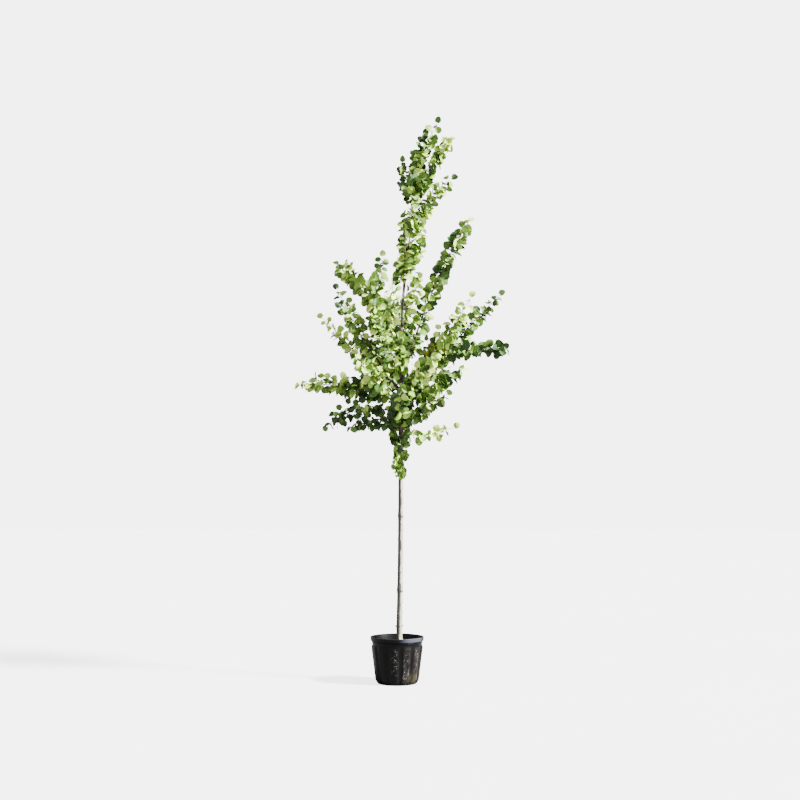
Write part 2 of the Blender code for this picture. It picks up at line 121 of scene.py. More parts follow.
def makeSpecks():
    # round spots scattered over a surface, such as lenticels and grit
    tree, given, mask = newGroup("specks", [
        ("Vector", "Vector", (0.0, 0.0, 0.0)), ("Scale", "Float", 120.0), ("Size", "Float", 0.25),
        ("Share", "Float", 0.5),
    ])
    cells = addNode(tree, "TexVoronoi", None, {"Vector": given["Vector"], "Scale": given["Scale"]}).outputs
    chance = addNode(tree, "SeparateColor", None, {"Color": cells["Color"]}).outputs["Red"]
    tests = [addNode(tree, "Math", {"operation": "LESS_THAN"}, {0: value, 1: given[limit]}).outputs["Value"]
             for value, limit in ((cells["Distance"], "Size"), (chance, "Share"))]
    both = addNode(tree, "Math", {"operation": "MULTIPLY"}, {0: tests[0], 1: tests[1]})
    tree.links.new(both.outputs["Value"], mask)
    return tree


patchGroup = makePatches()
speckGroup = makeSpecks()


class Finish:
    # one material while its nodes are laid

    def __init__(self, name):
        self.material = bpy.data.materials.new(name)
        self.material.use_nodes = True
        self.tree = self.material.node_tree
        self.shader = self.tree.nodes["Principled BSDF"]
        self.place = self.put("TexCoord")["Object"]

    def put(self, kind, settings=None, inputs=None):
        return addNode(self.tree, kind, settings, inputs).outputs

    def patches(self, scale, low, high, detail=3.0):
        # scale: how many to the metre, the same all ways or one number for each
        stretch = scale if isinstance(scale, tuple) else (scale, scale, scale)
        return self.put("Group", {"node_tree": patchGroup}, {
            "Vector": self.place, "Stretch": stretch, "Detail": detail, "Low": low, "High": high})["Mask"]

    def spots(self, scale, size, share):
        return self.put("Group", {"node_tree": speckGroup}, {
            "Vector": self.place, "Scale": scale, "Size": size, "Share": share})["Mask"]

    def attribute(self, name, output="Fac"):
        return self.put("Attribute", {"attribute_name": name})[output]

    def axes(self, vector):
        return self.put("SeparateXYZ", None, {"Vector": vector})

    def away(self, vector, point):
        return self.put("VectorMath", {"operation": "DISTANCE"}, {0: vector, 1: point})["Value"]

    def calc(self, operation, first, second, clamp=True):
        return self.put("Math", {"operation": operation, "use_clamp": clamp}, {0: first, 1: second})["Value"]

    def times(self, first, *others):
        for other in others:
            first = self.calc("MULTIPLY", first, other)
        return first

    def ramp(self, value, low, high, first=0.0, second=1.0):
        return self.put("MapRange", {"interpolation_type": "SMOOTHSTEP"}, {
            "Value": value, "From Min": low, "From Max": high, "To Min": first, "To Max": second})["Result"]

    def blend(self, mask, first, second):
        # first where the mask is 0, second where it is 1; 6 and 7 are the Mix node's two colours
        return self.put("Mix", {"data_type": "RGBA"}, {0: mask, 6: first, 7: second})[2]

    def done(self, colour, rough, relief=None, strength=0.5, depth=0.0006):
        # depth: how deep the relief's bump is, in metres
        feed(self.tree, self.shader.inputs["Base Color"], colour)
        feed(self.tree, self.shader.inputs["Roughness"], rough)
        if relief is not None:
            bump = self.put("Bump", None, {"Height": relief, "Strength": strength, "Distance": depth})
            feed(self.tree, self.shader.inputs["Normal"], bump["Normal"])
        return self.material


# Camera, floor and lights

view = {
    "stand": (0.0, -10.0, 1.517),   # a person's eye, ten metres off
    "aim": (0.0215, 0.0, 2.111),
    "lens": 59.8,
    "floorSize": 60.0,
    "keyFrom": (8.0, -3.4, 6.2),    # a broad soft light, high on the right
    "keyStrength": 34.0,
    "keyWidth": 9.0,                # degrees across, which softens its shadows
    "fillFrom": (-7.0, -6.0, 3.5),
    "fillStrength": 0.6,
    "fillWidth": 60.0,
    "roomStrength": 1.0,            # what lights the plant from all round
    "wallStrength": 5.5,            # the pale wall behind it
    "floorGlow": 3.25,
}


def select(*pieces):
    # back to object mode, with these selected and nothing else
    if bpy.context.mode != "OBJECT":
        bpy.ops.object.mode_set(mode="OBJECT")
    bpy.ops.object.select_all(action="DESELECT")
    for piece in reversed(pieces):
        piece.select_set(True)
        bpy.context.view_layer.objects.active = piece


def lookAt(thing, target):
    way = Vector(target) - thing.location
    thing.rotation_euler = way.to_track_quat("-Z", "Y").to_euler()


def addCamera():
    select()
    bpy.ops.object.camera_add(location=view["stand"])
    camera = bpy.context.object
    camera.name = "camera"
    camera.data.sensor_width = 36
    camera.data.lens = view["lens"]
    lookAt(camera, view["aim"])
    bpy.context.scene.camera = camera


def addSoftLight(name, place, width, strength):
    select()
    bpy.ops.object.light_add(type="SUN", location=place)
    light = bpy.context.object
    light.name = name
    light.data.angle = math.radians(width)
    light.data.energy = strength
    lookAt(light, (0.0, 0.0, 0.0))


def lightRoom():
    world = bpy.data.worlds.new("paleRoom")
    world.use_nodes = True
    tree = world.node_tree
    room, wall = tree.nodes["Background"], addNode(tree, "Background")
    for node, strength in ((room, view["roomStrength"]), (wall, view["wallStrength"])):
        node.inputs["Color"].default_value = (1.0, 1.0, 1.0, 1)
        node.inputs["Strength"].default_value = strength
    pick = addNode(tree, "MixShader", None, {
        "Fac": addNode(tree, "LightPath").outputs["Is Camera Ray"],
        1: room.outputs["Background"], 2: wall.outputs["Background"]})
    tree.links.new(pick.outputs["Shader"], tree.nodes["World Output"].inputs["Surface"])
    bpy.context.scene.world = world
    addSoftLight("keyLight", view["keyFrom"], view["keyWidth"], view["keyStrength"])
    addSoftLight("fillLight", view["fillFrom"], view["fillWidth"], view["fillStrength"])


def floorMaterial():
    look = Finish("paleFloor")
    colour = look.blend(look.patches(0.6, 0.3, 0.7), (0.33, 0.33, 0.325), (0.345, 0.345, 0.34))
    # it glows a little, so that the plant's shadow on it is faint, but throws little light back on the plant
    seen = look.put("LightPath")["Is Camera Ray"]
    glow = look.blend(seen, (0.0, 0.0, 0.0), (1.0, 1.0, 1.0))
    feed(look.tree, look.shader.inputs["Emission Color"], glow)
    look.shader.inputs["Emission Strength"].default_value = view["floorGlow"]
    return look.done(look.blend(seen, (0.20, 0.20, 0.19), colour), 0.9)


def addFloor():
    select()
    bpy.ops.mesh.primitive_plane_add(size=view["floorSize"])
    floor = bpy.context.object
    floor.name = "floor"
    floor.data.materials.append(floorMaterial())


addCamera()
lightRoom()
print("Camera and lights set")
addFloor()
print("Floor laid")


# Small modelling helpers


def startEdit(piece):
    bpy.context.view_layer.objects.active = piece
    bpy.ops.object.mode_set(mode="EDIT")
    bpy.ops.mesh.select_all(action="SELECT")


def pickVerts(piece, test):
    # in edit mode, selects the vertices whose place passes the test
    bpy.ops.mesh.select_mode(type="VERT")
    bpy.ops.mesh.select_all(action="DESELECT")
    mesh = bmesh.from_edit_mesh(piece.data)
    for vert in mesh.verts:
        vert.select = test(vert.co)
    mesh.select_flush_mode()
    bmesh.update_edit_mesh(piece.data)


def markVerts(piece, name, values):
    marks = piece.data.attributes.new(name, "FLOAT", "POINT")
    marks.data.foreach_set("value", values)


def joinPieces(pieces):
    select(*pieces)
    bpy.ops.object.join()
    return bpy.context.object


def finishPiece(piece, name, material, angle):
    # shades the piece, leaves its object at the origin and lets it ride with the plant
    select(piece)
    bpy.ops.object.transform_apply(location=True, rotation=True, scale=True)
    bpy.ops.object.shade_smooth_by_angle(angle=math.radians(angle))
    piece.name = name
    piece.data.materials.clear()
    piece.data.materials.append(material)
    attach(piece, "root")
    return piece


def takeShape(piece):
    # the model's vertices and faces as arrays, to copy from; the model itself goes
    select()
    verts = np.array([tuple(vert.co) for vert in piece.data.vertices])
    faces = [tuple(face.vertices) for face in piece.data.polygons]
    bpy.data.objects.remove(piece)
    return verts, faces


def fromCopies(name, copies, material, angle, own=False):
    # one piece from (shape, turn, place) copies; own: notes where each vertex is on the shape it comes from
    allVerts, allFaces, count = [], [], 0
    for (verts, faces), turn, place in copies:
        allVerts.append(verts @ turn.T + place)
        allFaces += [tuple(i + count for i in face) for face in faces]
        count += len(verts)
    data = bpy.data.meshes.new(name)
    data.from_pydata(np.concatenate(allVerts).tolist(), [], allFaces)
    if own:
        places = data.attributes.new("leafPlace", "FLOAT_VECTOR", "POINT")
        places.data.foreach_set("vector", np.concatenate([shape[0] for shape, _, _ in copies]).ravel())
    piece = bpy.data.objects.new(name, data)
    bpy.context.scene.collection.objects.link(piece)
    return finishPiece(piece, name, material, angle)


# Pot: a fluted black nursery pot, its lip turned over, with dust and pale specks on the ribs of its right
# side

pot = {
    "height": 0.345,
    "rimRadius": 0.200,
    "footRadius": 0.150,
    "wall": 0.0035,
    "wallRows": 14,
    "floor": 0.006,
    "lipHeight": 0.030,
    "lipProud": 0.007,
    "bandHeight": 0.034,
    "flutes": 12,
    "fluteDepth": 0.009,
    "fluteHalf": 12.6,              # degrees from a flute's middle to its foot
    "fluteSlope": 5.0,
    "fluteTurn": -97.0,             # degrees: one flute faces just left of the front
    "stepsPerFlute": 12,
    "drainHoles": 12,
    "drainRadius": 0.0065,
    "drainHeight": 0.020,
    "dampPlace": (0.112, -0.112, 0.045),
}
lipLow = pot["height"] - pot["lipHeight"]
fluteTop = lipLow - pot["bandHeight"]
potFlare = (pot["rimRadius"] - pot["lipProud"] - pot["footRadius"]) / pot["height"]


def potRadius(height):
    return pot["footRadius"] + potFlare * height


def potProfile():
    # (radius, height) up the outside, over the lip and down the inside
    top, rim, foot, rows = pot["height"], pot["rimRadius"], pot["footRadius"], pot["wallRows"]
    inner = rim - pot["lipProud"] - pot["wall"]
    steps = [(foot - 0.0045, 0.0008), (foot - 0.0022, 0.0030), (foot - 0.0004, 0.0075), (foot, 0.0105)]
    for i in range(rows + 1):
        height = 0.014 + (fluteTop + 0.006 - 0.014) * i / rows
        steps.append((potRadius(height), height))
    steps += [
        (potRadius(fluteTop) + 0.0008, fluteTop + 0.010), (potRadius(fluteTop) + 0.0012, fluteTop + 0.013),
        (potRadius(lipLow) + 0.0006, lipLow - 0.006), (potRadius(lipLow) - 0.0012, lipLow - 0.003),
        (potRadius(lipLow) - 0.0012, lipLow + 0.0006), (rim - 0.0040, lipLow + 0.0010),
        (rim - 0.0026, lipLow + 0.0018), (rim - 0.0022, lipLow + 0.0035), (rim - 0.0014, lipLow + 0.012),
        (rim - 0.0002, top - 0.0065), (rim, top - 0.0040), (rim - 0.0009, top - 0.0014), (rim - 0.0030, top),
        (inner + 0.0036, top), (inner + 0.0012, top - 0.0014), (inner, top - 0.0050),
    ]
    low, base = pot["floor"], foot - pot["wall"]
    for share in (0.25, 0.5, 0.75, 0.97):
        steps.append((inner + (base - inner) * share, top - 0.005 + (low + 0.005 - top) * share))
    return steps + [(base - 0.006, low)]


def fluteShare(place):
    # full over a flute's middle, half way on its shoulders, none between flutes
    slot = 360 / pot["flutes"]
    turn = (math.degrees(math.atan2(place.y, place.x)) - pot["fluteTurn"]) % slot
    across = within((pot["fluteHalf"] - min(turn, slot - turn)) / pot["fluteSlope"])
    low = within((place.z - 0.010) / 0.022)
    high = within((fluteTop + 0.004 - place.z) / 0.012)
    return across * across * (3 - 2 * across) * math.sqrt(low) * high


def raiseFlutes(piece):
    ridges = []
    for vert in piece.data.vertices:
        radius = math.hypot(vert.co.x, vert.co.y)
        outside = radius > potRadius(vert.co.z) - pot["wall"] / 2 and vert.co.z < fluteTop + 0.005
        ridges.append(fluteShare(vert.co) if outside else 0.0)
        vert.co.xy *= 1 + pot["fluteDepth"] * ridges[-1] / max(radius, 0.001)
    markVerts(piece, "ridge", ridges)


def cutDrainHoles(piece):
    # a hole in each hollow between the flutes, through the wall at the foot
    cutters = []
    for i in range(pot["drainHoles"]):
        turn = math.radians(pot["fluteTurn"] + 360 / pot["flutes"] * (i + 0.5))
        x, y = math.cos(turn) * pot["footRadius"], math.sin(turn) * pot["footRadius"]
        bpy.ops.mesh.primitive_cylinder_add(
            vertices=16, radius=pot["drainRadius"], depth=0.03, location=(x, y, pot["drainHeight"]),
            rotation=(0, math.pi / 2, turn))
        cutters.append(bpy.context.object)
    cutter = joinPieces(cutters)
    select(piece)
    holes = piece.modifiers.new("drainHoles", "BOOLEAN")
    holes.operation = "DIFFERENCE"
    holes.solver = "EXACT"
    holes.object = cutter
    bpy.ops.object.modifier_apply(modifier=holes.name)
    bpy.data.objects.remove(cutter)


def potMaterial():
    look = Finish("agedBlackPlastic")
    axes = look.axes(look.place)
    top = pot["height"]
    worn = look.patches(9.0, 0.35, 0.75, 5.0)
    colour = look.blend(worn, rgb(3, 3, 4), rgb(8, 8, 9))
    # dust and runs: on the ribs of the right side, thicker low down
    ridge = look.attribute("ridge")
    side = look.times(look.ramp(axes["X"], -0.05, 0.16), ridge)
    low = look.ramp(axes["Z"], 0.30, 0.02, 0.30, 0.85)
    dust = look.times(side, low, look.patches(42.0, 0.30, 0.72, 6.0))
    colour = look.blend(dust, colour, rgb(50, 43, 38))
    runs = look.times(look.patches((90.0, 90.0, 7.0), 0.58, 0.70), side, 0.65)
    colour = look.blend(runs, colour, rgb(44, 39, 36))
    # small pale specks along the middles of the ribs on the right half
    ribSpecks = look.times(
        look.patches(150.0, 0.59, 0.63, 5.0), look.ramp(axes["X"], -0.07, -0.01),
        look.ramp(ridge, 0.80, 1.0), look.patches(34.0, 0.46, 0.60, 4.0))
    colour = look.blend(ribSpecks, colour, rgb(128, 125, 120))
    # algae in the damp of one low side
    damp = look.ramp(look.away(look.place, pot["dampPlace"]), 0.062, 0.010)
    damp = look.times(damp, look.patches(60.0, 0.35, 0.6))
    colour = look.blend(damp, colour, rgb(36, 35, 16))
    # the lip's turned edge is rubbed paler
    rub = look.times(look.ramp(axes["Z"], top - 0.012, top - 0.001), look.patches(45.0, 0.45, 0.6, 6.0))
    colour = look.blend(rub, colour, rgb(24, 24, 26))
    # painted highlight: a bluish grey gleam painted on the lip's front right, towards the key light
    paintedHighlight = look.times(
        look.ramp(axes["X"], 0.0, 0.11), look.ramp(axes["Z"], top - 0.032, top - 0.022),
        look.ramp(axes["Y"], -0.05, -0.12))
    colour = look.blend(paintedHighlight, colour, rgb(56, 58, 66))
    rough = look.calc("ADD", look.ramp(dust, 0.0, 0.6, 0.32, 0.85), look.times(worn, 0.12))
    look.shader.inputs["Specular IOR Level"].default_value = 0.09
    return look.done(colour, rough, look.patches((240.0, 240.0, 60.0), 0.35, 0.7), 0.25)


def makePot():
    # its floor, extruded ring by ring along the profile
    radius, height = pot["footRadius"] - 0.008, 0.0
    select()
    bpy.ops.mesh.primitive_circle_add(
        vertices=pot["flutes"] * pot["stepsPerFlute"], radius=radius, fill_type="NGON")
    piece = bpy.context.object
    startEdit(piece)
    for nextRadius, nextHeight in potProfile():
        bpy.ops.mesh.extrude_region_move(TRANSFORM_OT_translate={"value": (0, 0, nextHeight - height)})
        bpy.ops.transform.resize(value=(nextRadius / radius, nextRadius / radius, 1))
        radius, height = nextRadius, nextHeight
    bpy.ops.mesh.select_all(action="SELECT")
    bpy.ops.mesh.normals_make_consistent(inside=False)
    select()
    raiseFlutes(piece)
    cutDrainHoles(piece)
    finishPiece(piece, "nurseryPot", potMaterial(), 30)
    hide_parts("pot")
    print("Pot made,", len(piece.data.polygons), "faces")


makePot()


# Potting mix: a rough top of bark crumb with chips and white grit

mix = {
    "belowRim": 0.048,
    "seat": 0.0012,                 # clear of the pot's wall
    "sides": 96,
    "ringStep": 0.0065,
    "lumps": 0.0035,
    "mound": (0.006, 0.10),         # round the trunk: its height and reach
    "slump": (0.004, 0.150),        # at the wall: its depth, and how far out it starts
    "reach": 0.178,                 # how far out chips and grit lie
    "bareFoot": 0.036,              # and how near the trunk
    "chips": 1500,
    "chipSize": (0.006, 0.019),
    "grit": 260,
    "gritSize": (0.0025, 0.0055),
}
mixTop = pot["height"] - mix["belowRim"]
trunkFootX = 0.011


def mixHeight(x, y):
    # a low mound round the trunk, lumps all over, and a slump at the wall
    rise, reach = mix["mound"]
    depth, start = mix["slump"]
    mound = rise * max(0.0, 1 - math.hypot(x - trunkFootX, y) / reach)
    slump = -depth * max(0.0, (math.hypot(x, y) - start) / 0.035)
    lump = noise.noise(Vector((x * 45, y * 45, 0.3))) + 0.5 * noise.noise(Vector((x * 130, y * 130, 2.1)))
    return mixTop - 0.003 + mound + slump + mix["lumps"] * lump


def mixMaterial():
    look = Finish("pottingMix")
    lumps = look.patches(120.0, 0.35, 0.65, 6.0)
    colour = look.blend(lumps, rgb(20, 15, 12), rgb(42, 32, 25))
    colour = look.blend(look.spots(420.0, 0.28, 0.35), colour, rgb(60, 47, 35))
    return look.done(colour, look.ramp(lumps, 0.0, 1.0, 0.98, 0.82), lumps, 0.8, 0.002)


def chipMaterial():
    look = Finish("barkChip")
    colour = look.blend(look.patches(70.0, 0.3, 0.7, 2.0), rgb(32, 22, 16), rgb(66, 48, 35))
    grain = look.patches((700.0, 160.0, 700.0), 0.4, 0.6)
    colour = look.blend(grain, colour, rgb(24, 17, 13))
    return look.done(colour, look.ramp(grain, 0.0, 1.0, 0.78, 0.95), grain, 0.5, 0.0008)


def gritMaterial():
    look = Finish("whiteGrit")
    pits = look.patches(900.0, 0.35, 0.65)
    colour = look.blend(pits, rgb(120, 116, 108), rgb(158, 155, 148))
    return look.done(colour, look.ramp(pits, 0.0, 1.0, 0.95, 0.8), pits, 0.6)


def modelChip():
    # a flat splinter with broken ends
    select()
    bpy.ops.mesh.primitive_cube_add(size=1)
    chip = bpy.context.object
    startEdit(chip)
    bpy.ops.transform.resize(value=(1.0, 0.45, 0.20))
    pickVerts(chip, lambda co: co.x > 0 and co.y > 0)
    bpy.ops.transform.translate(value=(-0.22, -0.05, 0.02))
    pickVerts(chip, lambda co: co.x < 0 and co.y < 0)
    bpy.ops.transform.translate(value=(0.16, 0.06, 0.03))
    pickVerts(chip, lambda co: co.z > 0)
    bpy.ops.transform.resize(value=(0.8, 0.75, 1))
    return takeShape(chip)


def modelGrit():
    # a rounded crumb with a few flats
    select()
    bpy.ops.mesh.primitive_ico_sphere_add(subdivisions=1, radius=0.5)
    crumb = bpy.context.object
    startEdit(crumb)
    pickVerts(crumb, lambda co: co.z < -0.1)
    bpy.ops.transform.resize(value=(1.15, 0.85, 0.7))
    pickVerts(crumb, lambda co: co.x > 0.2)
    bpy.ops.transform.translate(value=(-0.08, 0.04, 0.05))
    return takeShape(crumb)


def scatterOnMix(shape, count, sizes, tilt, lift, rng):
    # tilt: how unevenly they lie, in radians; lift: their middles' height as a share of their size
    copies = []
    while len(copies) < count:
        away = mix["reach"] * math.sqrt(rng.random())
        turn = rng.uniform(0, math.tau)
        x, y = away * math.cos(turn), away * math.sin(turn)
        if math.hypot(x - trunkFootX, y) < mix["bareFoot"]:
            continue
        size = rng.uniform(*sizes)
        spin = Matrix.Rotation(rng.uniform(0, math.tau), 3, "Z")
        lean = Matrix.Rotation(rng.gauss(0, tilt), 3, "X") @ Matrix.Rotation(rng.gauss(0, tilt), 3, "Y")
        turned = np.array(spin @ lean) * size
        copies.append((shape, turned, np.array((x, y, mixHeight(x, y) + size * lift))))
    return copies


def makeMixBody():
    # a disc raised to just under its top, widened like the pot, then ringed and roughened
    low = pot["floor"] + 0.0004
    foot = pot["footRadius"] - pot["wall"] - mix["seat"]
    rise = mixTop - 0.004 - low
    wide = foot + potFlare * rise
    select()
    bpy.ops.mesh.primitive_circle_add(
        vertices=mix["sides"], radius=foot - 0.006, fill_type="NGON", location=(0, 0, low))
    body = bpy.context.object
    bpy.ops.object.transform_apply(location=True)
    startEdit(body)
    bpy.ops.mesh.extrude_region_move(TRANSFORM_OT_translate={"value": (0, 0, rise)})
    share = (wide - 0.0015) / (foot - 0.006)
    bpy.ops.transform.resize(value=(share, share, 1))
    for _ in range(int(wide / mix["ringStep"]) - 1):
        bpy.ops.mesh.inset(thickness=mix["ringStep"])
    bpy.ops.mesh.poke()
    select()
    for vert in body.data.vertices:
        if vert.co.z > mixTop - 0.006:
            vert.co.z = mixHeight(vert.co.x, vert.co.y)
    return finishPiece(body, "pottingMixBody", mixMaterial(), 60)


def makeMix():
    rng = random.Random(41)
    body = makeMixBody()
    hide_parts("potting_mix")
    copies = scatterOnMix(modelChip(), mix["chips"], mix["chipSize"], 0.35, 0.10, rng)
    chips = fromCopies("barkChips", copies, chipMaterial(), 30)
    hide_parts("potting_mix")
    copies = scatterOnMix(modelGrit(), mix["grit"], mix["gritSize"], 0.8, 0.30, rng)
    grit = fromCopies("whiteGrains", copies, gritMaterial(), 50)
    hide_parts("potting_mix")
    print("Potting mix made with", mix["chips"], "chips")


makeMix()


# The lines that the trunk and its limbs follow

trunk = {
    "top": 3.70,
    "lean": 0.0125,                 # metres aside for each metre up
    "leaderFrom": 2.76,             # the leader leans more
    "leaderLean": 0.080,
    "radius": 0.0225,
    "taper": 0.0030,                # metres of radius lost for each metre up
    "crownFrom": 2.0,               # it thins faster among the boughs, up to the leader's stem
    "crownTaper": 0.0098,
    "stemFrom": 2.9,
    "stemTaper": 0.0032,
    "tip": 0.0052,
    "flareHeight": 0.075,
    "flareSwell": 0.35,
    "roots": 5,                     # low swellings all round at the foot
    "rootSwell": 0.16,
    "rootHeight": 0.06,
    "ribs": 0.030,                  # these three are shares of the radius
    "dimples": 0.016,
    "wrinkles": 0.012,
    "ringStep": 0.0040,
    "sides": 44,
    "stubs": 2,                     # of the scars below, how many have a short stub left
    "rings": (0.680, 1.232),        # dark collars left where lower boughs were taken off
    "ringSwell": 0.0030,
    "ringDip": 0.0016,
    "fleckRows": (1.27, 1.54),      # heights of the dark flecks on the lit edge
}
limbs = []

# leaves: height at the trunk; heading in degrees, 0 right, 90 back; reach and rise: its tip, out and up
# bow, sway: how far its middle stands above the straight way and to its left; bare: the share with no leaves
# thick: radius at the trunk; spread: how far its foliage stands out; light: its leaves' tone at its foot and
# at its tip, painted light and shade as well as their own colour
# leaf, gap: its leaves' size and spacing beside the others'; hug: how closely they lie along the trunk
# full: how long its twigs are beside the room that they have, at its foot and its tip
limbFacts = ("name", "leaves", "heading", "reach", "rise", "bow", "bare", "thick", "spread", "light")
usual = {"sway": 0.0, "leaf": 1.0, "gap": 1.0, "hug": 0.0, "full": (1.0, 0.45)}
waver = (0.004, 0.007)              # how far a limb swings from side to side on its way


def addLimb(*facts, **special):
    limb = {**usual, **dict(zip(limbFacts, facts)), **special}
    limb["heading"] = math.radians(limb["heading"])
    limbs.append(limb)


# two leaders, the trunk's own and a lesser one
addLimb("leader", 3.70, 2, 0.165, 0.52, 0.05, 0, 0.0052, 0.150, (0.45, 0.40), gap=0.75, full=(1.0, 0.4))
addLimb("side_leader", 2.780, 300, 0.070, 0.77, -0.02, 0.28, 0.0075, 0.085, (0.70, 0.15), sway=-0.01,
        gap=0.8, full=(0.45, 0.7))
addLimb("left_tip", 3.620, 172, 0.070, 0.300, -0.02, 0, 0.0036, 0.105, (0.30, 0.20), full=(0.9, 0.9))
# right side, from the top down
addLimb("right_tip", 3.600, 356, 0.280, 0.490, 0.07, 0, 0.0040, 0.120, (0.45, 0.55), gap=0.65,
        full=(1.0, 1.0))
addLimb("right_crest", 3.400, 8, 0.310, 0.410, 0.05, 0, 0.0040, 0.110, (0.50, 0.60), gap=0.85,
        full=(0.9, 0.8))
addLimb("right_steep", 2.200, 11, 0.530, 1.290, 0.040, 0.20, 0.0100, 0.125, (0.35, 0.30), gap=0.8,
        full=(0.4, 1.0))
addLimb("right_high", 2.165, 331, 0.580, 0.685, -0.04, 0.19, 0.0080, 0.170, (0.50, 0.60))
addLimb("right_middle", 2.125, 18, 0.800, 0.815, 0.0, 0.17, 0.0085, 0.130, (0.45, 0.40), gap=0.85,
        full=(0.8, 0.6))
addLimb("right_long", 2.080, 339, 0.825, 0.385, 0.17, 0.17, 0.0085, 0.130, (0.55, 0.0), gap=0.8,
        full=(0.6, 1.0))
addLimb("right_low", 2.015, 19, 0.500, 0.340, 0.06, 0.20, 0.0065, 0.170, (0.36, 0.36), gap=0.8,
        full=(0.8, 0.9))
addLimb("right_lower", 1.945, 327, 0.395, 0.200, -0.03, 0, 0.0048, 0.150, (0.30, 0.45))
addLimb("right_foot", 1.870, 345, 0.400, 0.030, -0.10, 0, 0.0036, 0.080, (0.30, 0.70), full=(0.6, 0.6))
# left side, from the top down
addLimb("left_crest", 2.640, 228, 0.170, 0.285, -0.06, 0, 0.0045, 0.130, (0.50, 0.65))
addLimb("left_steep", 2.130, 215, 0.165, 1.050, -0.12, 0.22, 0.0085, 0.135, (0.35, 0.60), gap=0.8,
        full=(1.0, 0.8))
addLimb("left_high", 2.290, 166, 0.500, 0.860, 0.11, 0.20, 0.0085, 0.135, (0.40, 0.60), gap=0.7,
        full=(0.55, 1.0))
addLimb("left_raised", 2.180, 196, 0.495, 0.745, -0.035, 0.20, 0.0080, 0.140, (0.60, 0.45), gap=0.8,
        full=(0.75, 0.6))
addLimb("left_middle", 2.105, 156, 0.660, 0.660, 0.0, 0.18, 0.0085, 0.150, (0.75, 0.75), full=(0.7, 0.35))
addLimb("left_long", 2.085, 189, 0.760, 0.140, 0.055, 0.18, 0.0085, 0.120, (0.30, 0.75), gap=0.72,
        full=(0.8, 0.75))
addLimb("left_low", 2.000, 159, 0.605, -0.075, 0.14, 0.19, 0.0065, 0.125, (0.42, 0.16), full=(0.7, 0.7))
addLimb("left_foot", 1.905, 202, 0.400, -0.005, 0.11, 0, 0.0048, 0.110, (0.34, 0.16), full=(0.7, 0.8))
# towards the front
addLimb("front_high", 2.190, 262, 0.470, 0.760, -0.05, 0.14, 0.0075, 0.165, (0.60, 0.60))
addLimb("front_left", 2.035, 235, 0.560, 0.355, 0.03, 0.20, 0.0075, 0.165, (0.45, 0.75))
addLimb("front_right", 2.110, 297, 0.570, 0.290, 0.04, 0.20, 0.0075, 0.165, (0.40, 0.36))
addLimb("front_low", 1.935, 272, 0.420, 0.220, 0.06, 0, 0.0048, 0.150, (0.28, 0.34))
# towards the back
addLimb("back_high", 2.380, 84, 0.520, 0.620, -0.06, 0.20, 0.0075, 0.170, (0.35, 0.45))
addLimb("back_left", 2.165, 118, 0.600, 0.440, -0.02, 0.20, 0.0080, 0.170, (0.30, 0.45))
addLimb("back_right", 2.065, 58, 0.600, 0.435, 0.02, 0.20, 0.0080, 0.170, (0.30, 0.45))
addLimb("back_low", 1.930, 100, 0.430, 0.140, 0.05, 0, 0.0048, 0.150, (0.25, 0.40))
# short sprays off the trunk itself, and the leaves that hug its foot
addLimb("trunk_top", 3.100, 25, 0.120, 0.360, -0.05, 0, 0.0036, 0.110, (0.45, 0.70))
addLimb("trunk_upper", 2.700, 350, 0.105, 0.420, -0.05, 0, 0.0036, 0.115, (0.60, 0.80))
addLimb("trunk_foot", 1.765, 205, 0.080, 0.180, -0.10, 0, 0.0040, 0.095, (0.30, 0.45), leaf=0.75, gap=0.6,
        hug=0.5, full=(0.7, 0.5))
addLimb("trunk_sprouts", 1.535, 232, 0.05, 0.225, -0.12, 0, 0.0036, 0.05, (0.40, 0.34), leaf=0.5, gap=0.5,
        hug=1.0)


def trunkPoint(height):
    lean = trunk["lean"] * (height - 0.3) + 0.006 * math.sin(1.9 * height)
    leader = trunk["leaderLean"] * max(0.0, height - trunk["leaderFrom"])
    return Vector((trunkFootX + lean + leader, 0.010 * math.sin(1.1 * height), height))


def trunkRadius(height):
    flare = trunk["flareSwell"] * max(0.0, 1 - (height - mixTop) / trunk["flareHeight"]) ** 2
    stem = trunk["radius"] - trunk["taper"] * (height - mixTop)
    crown = trunk["crownTaper"] * max(0.0, min(height, trunk["stemFrom"]) - trunk["crownFrom"])
    crown += trunk["stemTaper"] * max(0.0, height - trunk["stemFrom"])
    return max(trunk["tip"], stem * (1 + flare) - crown)


def limbOut(limb):
    return Vector((math.cos(limb["heading"]), math.sin(limb["heading"]), 0))


def limbPoint(limb, share):
    way = limbOut(limb) * limb["reach"] + up * limb["rise"]
    above = (up - way * up.dot(way) / way.length_squared).normalized()
    hump = 4 * share * (1 - share) * way.length
    rng = random.Random(limb["name"])
    swing, phase = rng.uniform(*waver), rng.uniform(0, math.tau)
    aside = up.cross(limbOut(limb)) * (limb["sway"] * hump + swing * math.sin(phase + 11 * share) * share)
    return trunkPoint(limb["leaves"]) + way * share + above * limb["bow"] * hump + aside


def stemLine(limb, steps):
    # the leafy part of a limb's line
    first = limb["bare"]
    return [limbPoint(limb, first + (1 - first) * i / steps) for i in range(steps + 1)]


# Bark of the trunk and limbs


